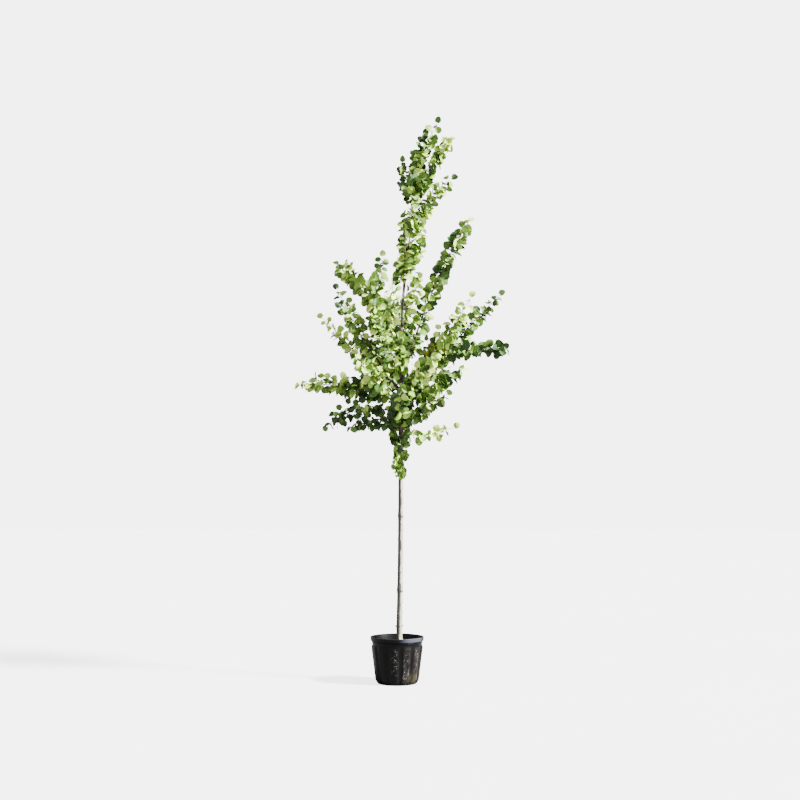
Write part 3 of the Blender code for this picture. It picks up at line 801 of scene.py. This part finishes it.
def barkMaterial():
    look = Finish("greyBark")
    axes = look.axes(look.place)
    large = look.patches(14.0, 0.35, 0.65, 4.0)
    fissures = look.patches((330.0, 330.0, 36.0), 0.42, 0.60)
    dashes = look.patches((95.0, 95.0, 620.0), 0.62, 0.68)
    pale = look.blend(large, rgb(152, 146, 130), rgb(190, 186, 170))
    pale = look.blend(look.times(fissures, 0.55), pale, rgb(104, 98, 88))
    pale = look.blend(dashes, pale, rgb(88, 78, 68))
    # painted shade: the side turned from the key light is painted greyer and darker, with a ragged edge
    ragged = look.times(look.patches((60.0, 60.0, 22.0), 0.35, 0.65), 0.16)
    paintedShade = look.ramp(look.calc("ADD", look.attribute("facingKeyLight"), ragged), 0.86, 0.98, 1.0, 0.0)
    pale = look.blend(paintedShade, pale, rgb(46, 42, 39))
    # higher up the bark is younger and browner, and it is also painted darker in the crown as painted shade
    youngAndShaded = look.blend(large, rgb(44, 34, 31), rgb(72, 59, 52))
    youngAndShaded = look.blend(dashes, youngAndShaded, rgb(116, 104, 92))
    colour = look.blend(look.ramp(axes["Z"], 1.50, 2.05), pale, youngAndShaded)
    # a green film low down, painted darker on the side turned from the key light as painted shade, and the
    # dark rings and scars
    film = look.times(look.ramp(axes["Z"], 0.80, 0.50), look.patches(55.0, 0.25, 0.68), 0.75)
    colour = look.blend(film, colour, look.blend(paintedShade, rgb(142, 140, 96), rgb(60, 57, 44)))
    colour = look.blend(look.attribute("barkMarks"), colour, rgb(36, 29, 25))
    relief = look.calc("SUBTRACT", 0.75, look.times(fissures, 0.7))
    relief = look.calc("ADD", relief, look.times(dashes, 0.25))
    return look.done(colour, look.ramp(fissures, 0.0, 1.0, 0.72, 0.94), relief, 0.7, 0.0012)


def limbMaterial():
    look = Finish("youngBark")
    large = look.patches(30.0, 0.35, 0.65, 4.0)
    # the limbs' browns are their own colour, and are also painted darker as painted shade of the crown
    old = look.blend(large, rgb(46, 37, 33), rgb(78, 66, 57))
    new = look.blend(large, rgb(50, 34, 28), rgb(82, 58, 42))
    dots = look.spots(210.0, 0.20, 0.30)
    colour = look.blend(dots, look.blend(look.attribute("barkMarks"), old, new), rgb(124, 110, 94))
    wrinkles = look.patches((500.0, 500.0, 300.0), 0.4, 0.62)
    relief = look.calc("ADD", look.times(wrinkles, 0.5), dots)
    return look.done(colour, look.ramp(wrinkles, 0.0, 1.0, 0.62, 0.85), relief)


def addTube(line, radii, sides):
    # a path curve swept to its radii and turned into a closed mesh
    select()
    bpy.ops.curve.primitive_nurbs_path_add()
    curve = bpy.context.object.data
    curve.splines.clear()
    spline = curve.splines.new("POLY")
    spline.points.add(len(line) - 1)
    for point, place, radius in zip(spline.points, line, radii):
        point.co = (*place, 1)
        point.radius = radius
    curve.dimensions = "3D"
    curve.bevel_depth = 1
    curve.bevel_resolution = sides // 2 - 2
    curve.use_fill_caps = True
    bpy.ops.object.convert(target="MESH")
    return bpy.context.object


# the level way the key light comes from; the trunk's bark is painted darker on the side turned from it
lightSide = Vector((0.85, -0.53, 0))

# scars of pruned boughs on the trunk, the ones with stubs first: height, angle in degrees, size
scars = [
    (0.410, 178, 0.0085), (0.412, 350, 0.0080), (0.520, 340, 0.0060), (0.600, 320, 0.0062),
    (0.690, 200, 0.0075), (0.845, 255, 0.0055), (0.960, 80, 0.0062), (1.060, 190, 0.0068),
    (1.150, 20, 0.0055), (1.245, 282, 0.0070), (1.370, 130, 0.0060), (1.455, 330, 0.0055),
    (1.560, 60, 0.0060), (1.680, 290, 0.0055), (1.800, 170, 0.0050),
]


def trunkRelief(height, angle, radius):
    # how far the bark stands out there, and how dark it is: ribs, wrinkles, roots, collars and scars
    x, y = math.cos(angle), math.sin(angle)
    place = Vector((x, y, height * 3.0))
    ribs = trunk["ribs"] * noise.noise(place * 1.7) + trunk["dimples"] * noise.noise(place * 4.1)
    fine = trunk["wrinkles"] * noise.noise(Vector((x * 9, y * 9, height * 60)))
    low = max(0.0, 1 - (height - mixTop) / trunk["rootHeight"]) ** 1.5
    roots = trunk["rootSwell"] * low * math.cos(trunk["roots"] * angle + 0.7)
    lift = radius * (ribs + fine + roots)
    dark = 0.0
    for level in trunk["rings"]:
        off = height - level - 0.0015 * math.sin(2 * angle + level * 9)
        lift += trunk["ringSwell"] * math.exp(-((off - 0.012) / 0.026) ** 2)
        lift -= trunk["ringDip"] * math.exp(-(off / 0.0022) ** 2)
        dark = max(dark, math.exp(-(off / 0.0075) ** 2))
    for level, turn, size in scars:
        if abs(height - level) > 4 * size:
            continue
        swing = (angle - math.radians(turn) + math.pi) % math.tau - math.pi
        off = math.hypot(swing * radius, height - level) / size
        lift += 0.34 * size * math.exp(-off ** 2) - 0.30 * size * math.exp(-(off / 0.42) ** 2)
        dark = max(dark, 0.9 * math.exp(-(off / 0.75) ** 2))
    if trunk["fleckRows"][0] < height < trunk["fleckRows"][1] and abs(angle + 0.25) < 0.30:
        dark = max(dark, 0.9 * within(5 * noise.noise(Vector((3.0, 1.0, height * 62)))))
    return lift, dark


def shapeTrunk(piece):
    marks, sides = [], []
    for vert in piece.data.vertices:
        middle = trunkPoint(vert.co.z)
        out = Vector((vert.co.x - middle.x, vert.co.y - middle.y, 0))
        if out.length < 0.0005:
            marks.append(0.0)
            sides.append(0.5)
            continue
        lift, dark = trunkRelief(vert.co.z, math.atan2(out.y, out.x), trunkRadius(vert.co.z))
        out.normalize()
        vert.co += out * lift
        marks.append(dark)
        # how far each vertex faces the key light, which sets the bark's painted shade
        sides.append(0.5 + 0.5 * out.dot(lightSide))
    markVerts(piece, "barkMarks", marks)
    markVerts(piece, "facingKeyLight", sides)


def makeStub(level, turn, size):
    # what is left of a bough cut back close to the trunk
    turn = math.radians(turn)
    out = Vector((math.cos(turn), math.sin(turn), 0.45)).normalized()
    place = trunkPoint(level) + out * (trunkRadius(level) + 0.003)
    select()
    bpy.ops.mesh.primitive_cylinder_add(
        vertices=12, radius=size * 0.62, depth=0.016, location=place,
        rotation=out.to_track_quat("Z", "Y").to_euler())
    stub = bpy.context.object
    bpy.ops.object.transform_apply(location=True, rotation=True, scale=True)
    startEdit(stub)
    pickVerts(stub, lambda co: (co - place).dot(out) > 0)
    bpy.ops.mesh.inset(thickness=0.0012)
    bpy.ops.transform.translate(value=out * -0.0008)
    select()
    heights = [(vert.co - place).dot(out) for vert in stub.data.vertices]
    markVerts(stub, "barkMarks", [1.0 if height > 0.003 else 0.1 for height in heights])
    return stub


def makeTrunk():
    count = round((trunk["top"] - mixTop) / trunk["ringStep"])
    heights = [mixTop - 0.008 + (trunk["top"] - mixTop + 0.008) * i / count for i in range(count + 1)]
    line = [trunkPoint(height) for height in heights]
    piece = addTube(line, [trunkRadius(max(height, mixTop)) for height in heights], trunk["sides"])
    shapeTrunk(piece)
    piece = joinPieces([piece] + [makeStub(*scar) for scar in scars[:trunk["stubs"]]])
    finishPiece(piece, "trunkBark", barkMaterial(), 50)
    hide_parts("trunk")
    print("Trunk made,", len(piece.data.polygons), "faces")


makeTrunk()

limbLook = {
    "ringStep": 0.011,
    "sides": 10,
    "nodeStep": 0.052,              # a slight swelling at each pair of buds
    "nodeSwell": 0.16,
    "collar": 0.55,                 # and a wider one where it leaves the trunk
    "taper": 0.80,
    "tip": 0.0014,
    "grain": 0.00035,
}


def makeLimb(limb):
    length = math.hypot(limb["reach"], limb["rise"])
    count = max(12, round(length / limbLook["ringStep"]))
    shares = [i / count for i in range(count + 1)]
    line = [limbPoint(limb, share) for share in shares]
    radii = []
    for share in shares:
        along = share * length
        collar = limbLook["collar"] * math.exp(-max(0.0, along - trunkRadius(limb["leaves"])) / 0.014)
        phase = (along % limbLook["nodeStep"]) / limbLook["nodeStep"]
        swell = limbLook["nodeSwell"] * math.exp(-((phase - 0.5) / 0.10) ** 2)
        radius = max(limbLook["tip"], limb["thick"] * (1 - limbLook["taper"] * share))
        radii.append(radius * (1 + collar + swell))
    piece = addTube(line, radii, limbLook["sides"])
    marks = []
    for vert in piece.data.vertices:
        place = vert.co * 160
        vert.co += Vector((noise.noise(place), noise.noise(place + up * 9), 0)) * limbLook["grain"]
        marks.append(min(1.0, (vert.co - line[0]).length / length * 1.25))
    markVerts(piece, "barkMarks", marks)
    return piece


def makeLimbs():
    piece = joinPieces([makeLimb(limb) for limb in limbs])
    finishPiece(piece, "limbBark", limbMaterial(), 60)
    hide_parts(*[limb["name"] + "_bough" for limb in limbs if limb["bare"]])
    print("Limbs made,", len(piece.data.polygons), "faces")


makeLimbs()


# Leaves and twigs: each mass grows in the space of its own CAD node, and goes on to finer twigs

growth = {
    "leaf": 0.070,                  # the usual length of a blade
    "cadLeaf": 0.094,               # the CAD's own leaf, which the masses' spaces are worked out from
    "pairGap": 0.037,
    "twigEvery": 2,                 # nodes between one pair of twigs and the next
    "twigLast": (0.80, 0.94),       # how far along twigs go on, in a mass that tapers and in a blunt one
    "leafShrink": (0.28, 0.10),     # how much smaller leaves are at the tip of each
    "twigReach": (0.8, 1.05),       # as a share of the room there
    "twigOnward": (0.55, 0.95),     # how far twigs point along their stem
    "twigBare": 0.28,
    "twigRadii": (0.0019, 0.0010),
    "twigletReach": (0.45, 0.75),   # as a share of what is left of the twig
    "twigletRadii": (0.0011, 0.0007),
    "twigletChance": 0.55,
    "leastTwig": 0.45,              # in leaves; a shorter one isn't grown
    "shootRadii": (0.0014, 0.0011, 0.0008),
    "leafSizes": (0.72, 1.10),      # the least and the most beside a mass's usual leaf
    "leafOnward": (0.2, 0.7),       # how far leaves point along their shoot
    "stalkRise": (-0.35, 0.25),
    "bladeDroop": (-0.7, 0.1),
    # painted light: leaves on the side towards the key light are given paler tones
    "paintedLightTone": 0.16,                # how much paler leaves are on the lit side
    "toneSpread": 0.19,
    "tawnyShare": 0.12,             # of the sprays on the inner part of one bough
    "stalk": 0.30,                  # a leaf's stalk, as a share of its blade
    "stalkRadii": (0.0007, 0.00055, 0.0005),
    "notch": 0.115,                 # where the stalk joins, as a share of the blade
    "clear": 0.0015,
    "twigClear": 0.002,
    "tries": 6,
    "openLow": 2.60,                # between these heights the trunk shows from the front
    "openHigh": 3.02,
    "openHalf": 0.020,
}

# short shoots straight off the trunk: under the crown, where they are upright and small low down, and on
# the leader's stem; turns: the headings they take; lean, length, leaf (their leaves' size beside the others')
# and light (their tones, painted light and shade as well as their own colour): at the foot and the top of the
# zone
trunkShoots = [
    {"name": "sprouts", "count": 170, "heights": (1.480, 2.10), "turns": (0, 360), "lean": (0.0, 0.60),
     "length": (0.026, 0.057), "leaf": (0.45, 0.86), "light": (0.48, 0.30)},
    {"name": "stem sprays", "count": 60, "heights": (2.95, 3.50), "turns": (0, 360), "lean": (0.7, 1.0),
     "length": (0.06, 0.04), "leaf": (0.85, 0.85), "light": (0.50, 0.60)},
    {"name": "crest sprays", "count": 44, "heights": (3.48, 3.74), "turns": (-115, 75), "lean": (1.6, 1.6),
     "length": (0.10, 0.10), "leaf": (0.9, 0.9), "light": (0.50, 0.50)},
]

# leaf tones from the darkest painted shade to the palest painted light, partly the leaves' own colour, dealt
# out by spray
leafTones = [
    ("leafDeepShade", rgb(33, 59, 16)), ("leafShade", rgb(44, 75, 22)), ("leafDark", rgb(66, 97, 35)),
    ("leafGreen", rgb(91, 122, 45)), ("leafFresh", rgb(124, 158, 58)), ("leafLight", rgb(158, 189, 80)),
    ("leafPale", rgb(192, 214, 106)), ("leafTawny", rgb(136, 116, 30)),
]
tawny = len(leafTones) - 1
lightWay = Vector((0.75, -0.45, 0.5)).normalized()


def leafVeins(look):
    # veins that fan out from the leaf's foot, by its own flat coordinates
    own = look.attribute("leafPlace", "Vector")
    axes = look.axes(own)
    along = look.calc("SUBTRACT", axes["X"], growth["notch"], False)
    aside = look.calc("ABSOLUTE", axes["Y"], 0.0, False)
    turn = look.calc("ARCTAN2", aside, along, False)
    fan = look.calc("PINGPONG", look.calc("MULTIPLY", turn, 2.3, False), 0.5)
    near = look.times(fan, look.away(own, (growth["notch"], 0.0, 0.0)))
    return look.ramp(near, 0.006, 0.034, 1.0, 0.0)


def leafMaterial(name, tone):
    look = Finish(name)
    cloud = look.patches(38.0, 0.35, 0.65)
    veins = leafVeins(look)
    paler = tuple(min(1.0, part * 1.15 + 0.006) for part in tone)
    ribbed = tuple(min(1.0, part * 1.5 + 0.02) for part in tone)
    upper = look.blend(cloud, tuple(part * 0.84 for part in tone), paler)
    upper = look.blend(look.times(veins, 0.6), upper, ribbed)
    back = look.put("NewGeometry")["Backfacing"]
    colour = look.blend(back, upper, tuple(part * 0.86 + 0.016 for part in tone))
    look.shader.inputs["Specular IOR Level"].default_value = 0.18
    rough = look.ramp(cloud, 0.0, 1.0, 0.46, 0.60)
    return look.done(colour, rough, look.calc("SUBTRACT", 1.0, veins), 0.4)


def stalkMaterial():
    look = Finish("leafStalk")
    return look.done(look.blend(look.patches(24.0, 0.4, 0.6), rgb(138, 92, 62), rgb(134, 140, 66)), 0.55)


def twigMaterial():
    look = Finish("redBrownTwig")
    large = look.patches(16.0, 0.35, 0.65)
    colour = look.blend(large, rgb(94, 58, 40), rgb(122, 92, 52))
    return look.done(colour, look.ramp(large, 0.0, 1.0, 0.50, 0.68))


def modelLeaf(fold, cup, droop, twist):
    # a round heart-shaped blade with a blunt scalloped edge; its foot is at 0 and its tip at 1 along X
    select()
    bpy.ops.mesh.primitive_circle_add(vertices=16, radius=0.5, fill_type="NGON", location=(0.5, 0, 0))
    blade = bpy.context.object
    bpy.ops.object.transform_apply(location=True)
    startEdit(blade)
    bpy.ops.mesh.inset(thickness=0.19)
    bpy.ops.mesh.poke()
    pickVerts(blade, lambda co: co.x < 0.01)
    bpy.ops.transform.translate(value=(growth["notch"], 0, 0))
    pickVerts(blade, lambda co: co.x < 0.09 and abs(co.y) > 0.1)
    bpy.ops.transform.translate(value=(-0.045, 0, 0))         # the two lobes beside the notch
    pickVerts(blade, lambda co: co.x > 0.97)
    bpy.ops.transform.translate(value=(0.035, 0, 0))          # the tip
    select()
    for i, vert in enumerate(blade.data.vertices):
        x, y = vert.co.x, vert.co.y
        off = math.hypot(x - 0.5, y)
        if off > 0.42 and i % 2:
            vert.co.y *= 0.965
        rim = (off / 0.5) ** 2
        vert.co.z = fold * abs(y) - cup * rim * 0.25 - droop * x * x + twist * y * (x - 0.3)
    return takeShape(blade)


def tube(line, radii, sides):
    # a thin closed tube as a copy that stays where it is: its shape, no turn and no shift
    verts, faces = [], []
    for i, (point, radius) in enumerate(zip(line, radii)):
        way = (line[min(i + 1, len(line) - 1)] - line[max(i - 1, 0)]).normalized()
        first = way.orthogonal().normalized()
        second = way.cross(first)
        for k in range(sides):
            turn = math.tau * k / sides
            verts.append(tuple(point + (first * math.cos(turn) + second * math.sin(turn)) * radius))
    last = (len(line) - 1) * sides
    for row in range(0, last, sides):
        for k in range(sides):
            a, b = row + k, row + (k + 1) % sides
            faces.append((a, b, b + sides, a + sides))
    faces += [tuple(reversed(range(sides))), tuple(range(last, last + sides))]
    return (np.array(verts), faces), np.eye(3), np.zeros(3)


class Lines:
    # many bent lines as arrays, so that a point is measured from all of them at once

    def __init__(self, lines):
        points = np.array([[tuple(point) for point in line] for line in lines])
        self.steps = points.shape[1] - 1
        self.starts, self.ways = points[:, :-1], points[:, 1:] - points[:, :-1]
        self.squares = (self.ways ** 2).sum(2)

    def gaps(self, point):
        # how far each stretch of each line is, and how far along its line its nearest place is
        reach = point - self.starts
        t = np.clip((reach * self.ways).sum(2) / self.squares, 0, 1)
        gap = np.sqrt(((reach - self.ways * t[..., None]) ** 2).sum(2))
        return gap, (np.arange(self.steps) + t) / self.steps


def ofLimbs(key, factor=1.0):
    return np.array([limb[key] * factor for limb in limbs])[:, None]


stemLines = [stemLine(limb, 12) for limb in limbs]
stems = Lines(stemLines)
wood = Lines([[limbPoint(limb, i / 16) for i in range(17)] for limb in limbs])
leafShapes = [
    modelLeaf(0.30, 0.45, 0.14, 0.25), modelLeaf(0.46, 0.20, 0.28, -0.30), modelLeaf(0.14, 0.80, 0.12, 0.40),
    modelLeaf(0.36, -0.40, 0.34, 0.15), modelLeaf(0.22, 0.35, 0.46, -0.45),
]
leafCopies = [[] for _ in leafTones]
stalkCopies = []
twigCopies = []
lowCorner, highCorner = (np.array(corner) for corner in cadBox)


def spaceRadius(spread, leaf, along):
    # how far a mass reaches from its stem: full near its foot, drawn in to one leaf at its tip
    tip = np.minimum(spread, 0.95 * leaf)
    return tip + (spread + 0.35 * leaf - tip) * (1 - along) ** 0.8


def spaceShares(point):
    # the distance from each mass's stem, as a share of how far its space reaches there
    gap, along = stems.gaps(point)
    return (gap / spaceRadius(ofLimbs("spread"), ofLimbs("leaf", growth["cadLeaf"]), along)).min(axis=1)


def inReach(index, point):
    # true in the mass's own space, nearer to it than to any other, and inside the whole plant's box
    if (point < lowCorner + 0.001).any() or (point > highCorner - 0.001).any():
        return False
    shares = spaceShares(point)
    return shares[index] <= 1 and shares.argmin() == index


def clearOfWood(point, clear):
    gap, along = wood.gaps(point)
    radius = np.maximum(limbLook["tip"], ofLimbs("thick") * (1 - limbLook["taper"] * along))
    if (gap - radius).min() < clear:
        return False
    middle = trunkPoint(point[2])
    away = math.hypot(point[0] - middle.x, point[1] - middle.y)
    return point[2] > trunk["top"] or away > trunkRadius(point[2]) + clear


def hasRoom(index, points, clear):
    return all(inReach(index, point) and clearOfWood(point, clear) for point in points)


def inFrontOfTrunk(point):
    # the slot that is left open so that the trunk shows from the front, halfway up the crown
    if not growth["openLow"] < point[2] < growth["openHigh"] or point[1] > -0.02:
        return False
    return abs(point[0] - trunkPoint(point[2]).x) < growth["openHalf"]


def linePlace(line, distance):
    for a, b in zip(line, line[1:]):
        step = (b - a).length
        if distance <= step:
            return a + (b - a) * (distance / step), (b - a).normalized()
        distance -= step
    return line[-1], (line[-1] - line[-2]).normalized()


def pairSides(way, turn):
    # the two opposite directions, square to a shoot, in which a pair of leaves or twigs stands
    first = way.orthogonal().normalized()
    level = up.cross(way)
    if level.length > 0.2:
        first = level.normalized()
    first = Matrix.Rotation(turn, 3, way) @ first
    return first, -first


def toneOf(light):
    return int(within(light, 0.999) * tawny)


def pickTone(limb, share, out, rng):
    # by spray, as painted light and shade: the limb's own light, more on the lit side, with some chance
    light = between(limb["light"], share) + growth["paintedLightTone"] * out.dot(lightWay)
    light += rng.gauss(0, growth["toneSpread"])
    if limb["name"] == "right_high" and share < 0.6 and rng.random() < growth["tawnyShare"]:
        return tawny
    return toneOf(light)


def setLeaf(index, root, way, side, size, tone, rng):
    # a leaf on its stalk, tried at a few angles until it has room; where it hugs, it lies along the trunk
    limb = limbs[index]
    hug = limb["hug"]
    outward = limbOut(limb)
    aside = up.cross(outward)
    for _ in range(growth["tries"]):
        onward = rng.uniform(*growth["leafOnward"]) + 1.3 * hug
        out = side * (0.85 - 0.45 * hug) + way * onward + up * rng.uniform(*growth["stalkRise"])
        out.normalize()
        blade = (out + up * rng.uniform(*growth["bladeDroop"]) * (1 - hug)).normalized()
        face = aside * rng.choice((-1, 1)) * rng.uniform(0.1, 1.0) + up * rng.uniform(0.0, 0.8)
        face += outward * rng.uniform(-0.3, 0.6) + side * 1.6 * hug
        face = face - blade * face.dot(blade)
        if face.length < 0.15:
            continue
        face.normalize()
        across = face.cross(blade)
        foot = root + out * size * growth["stalk"]
        corners = ((1, 0), (0.5, 0.5), (0.5, -0.5), (0.1, 0))
        rim = [np.array(foot + blade * size * x + across * size * y) for x, y in corners]
        if not hasRoom(index, rim, growth["clear"]) or any(inFrontOfTrunk(point) for point in rim):
            continue
        if tone < tawny:
            tone = min(tawny - 1, max(0, tone + rng.choice((-2, -1, 0, 0, 0, 1, 2))))
        turn = np.array(Matrix((blade, across, face)).transposed()) * size
        place = np.array(foot - blade * size * growth["notch"])
        leafCopies[tone].append((rng.choice(leafShapes), turn, place))
        middle = root.lerp(foot, 0.55) + up * size * 0.02
        stalkCopies.append(tube([root, middle, foot], growth["stalkRadii"], 3))
        return


def growShoot(index, line, start, level, rng):
    # pairs of leaves along a shoot, each a quarter turn from the last, finer twigs on the way and a leaf
    # at the tip; level: 0 for a limb's own stem, 1 for its twigs, 2 for theirs
    limb = limbs[index]
    blunt = int(limb["full"][1] >= 1)         # 1 where the mass is as wide at its tip
    length = sum((b - a).length for a, b in zip(line, line[1:]))
    size = growth["leaf"] * (0.4 + 0.6 * limb["leaf"])
    nodes = max(1, round((length - start) / (growth["pairGap"] * limb["gap"])))
    turn = rng.uniform(-0.5, 0.5)
    tone = None
    for i in range(nodes):
        at = start + (length - start) * i / nodes
        quarter = turn + i * math.pi / 2
        root, way = linePlace(line, at)
        if tone is None or (level == 0 and i % 2 == 0):
            tone = pickTone(limb, at / length if level == 0 else shareAlong(index, root), way, rng)
        mine = size * rng.uniform(*growth["leafSizes"]) * (1 - growth["leafShrink"][blunt] * at / length)
        mine *= 1 - 0.1 * limb["hug"]
        for side in pairSides(way, quarter + rng.uniform(-0.35, 0.35)):
            setLeaf(index, root, way, side, mine, tone, rng)
        branches = level == 0 and i % growth["twigEvery"] == 0 and at / length < growth["twigLast"][blunt]
        branches = branches or (level == 1 and i < nodes - 1 and rng.random() < growth["twigletChance"])
        if branches:
            for side in pairSides(way, quarter + math.pi / 4 + rng.uniform(-0.4, 0.4)):
                setTwig(index, root, way, side, at, length, level + 1, rng)
    root, way = linePlace(line, length - 0.002)
    side, _ = pairSides(way, rng.uniform(0, math.tau))
    setLeaf(index, root, way, (way * 3 + side).normalized(), size * 0.72, tone, rng)


def shareAlong(index, point):
    gaps = [(place - point).length for place in stemLines[index]]
    return gaps.index(min(gaps)) / stems.steps


def setTwig(index, root, way, side, at, length, level, rng):
    # a side shoot that leaves at a half-open angle, points up a little and wavers
    limb = limbs[index]
    leaf = growth["leaf"] * limb["leaf"]
    if level == 1:
        space = float(spaceRadius(limb["spread"], growth["cadLeaf"] * limb["leaf"], at / length))
        reach = (space - 0.75 * leaf) * rng.uniform(*growth["twigReach"])
        reach *= between(limb["full"], max(0.0, at / length - 0.30) / 0.70)
        radii = growth["twigRadii"]
    else:
        reach = (length - at) * rng.uniform(*growth["twigletReach"])
        radii = growth["twigletRadii"]
    if reach < growth["leastTwig"] * leaf:
        return
    out = (side + way * rng.uniform(*growth["twigOnward"]) + up * 0.25).normalized()
    sway = Vector([rng.uniform(-1, 1) for _ in range(3)]) * reach * 0.05
    thirds = (0, 0.34, 0.67, 1)
    line = [root + out * reach * t + sway * math.sin(math.pi * t) + up * 0.07 * reach * t * t for t in thirds]
    if hasRoom(index, map(np.array, line[1:]), growth["twigClear"]):
        twigCopies.append(tube(line, [between(radii, t) for t in thirds], 4 if level == 1 else 3))
        growShoot(index, line, reach * growth["twigBare"], level, rng)


def growTrunkShoots(zone):
    rng = random.Random(zone["name"])
    for _ in range(zone["count"]):
        share = rng.random()
        height = between(zone["heights"], share)
        turn = math.radians(rng.uniform(*zone["turns"]))
        out = Vector((math.cos(turn), math.sin(turn), 0))
        root = trunkPoint(height) + out * trunkRadius(height) * 0.9
        way = (out * between(zone["lean"], share) * rng.uniform(0.3, 1.0) + up).normalized()
        length = between(zone["length"], share) * rng.uniform(0.7, 1.3)
        line = [root, root + way * length * 0.5, root + way * length + out * 0.004]
        tip = np.array(line[2])
        index = int(spaceShares(tip).argmin())
        if not inReach(index, tip):
            continue
        twigCopies.append(tube(line, growth["shootRadii"], 3))
        tone = toneOf(between(zone["light"], share) + rng.gauss(0, 0.14))
        size = growth["leaf"] * between(zone["leaf"], share)
        for at in (0.55, 0.98):
            place, onward = linePlace(line, length * at)
            for side in pairSides(onward, rng.uniform(0, math.tau)):
                setLeaf(index, place, onward, (side + out * 0.5).normalized(), size, tone, rng)


def growCrown():
    for index, limb in enumerate(limbs):
        rng = random.Random(limb["name"] + " leaves")
        growShoot(index, stemLine(limb, 24), growth["pairGap"] * 0.6, 0, rng)
    for zone in trunkShoots:
        growTrunkShoots(zone)
    print("Crown grown:", len(stalkCopies), "leaves,", len(twigCopies), "twigs")


def makeCrown():
    growCrown()
    masses = [limb["name"] + "_leaves" for limb in limbs]
    for (name, tone), copies in zip(leafTones, leafCopies):
        piece = fromCopies(name, copies, leafMaterial(name, tone), 180, own=True)
        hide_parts(*masses)
        print(name, len(copies), "leaves", len(piece.data.polygons), "faces")
    fromCopies("leafStalks", stalkCopies, stalkMaterial(), 180)
    twigs = fromCopies("twigs", twigCopies, twigMaterial(), 180)
    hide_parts(*masses)


makeCrown()
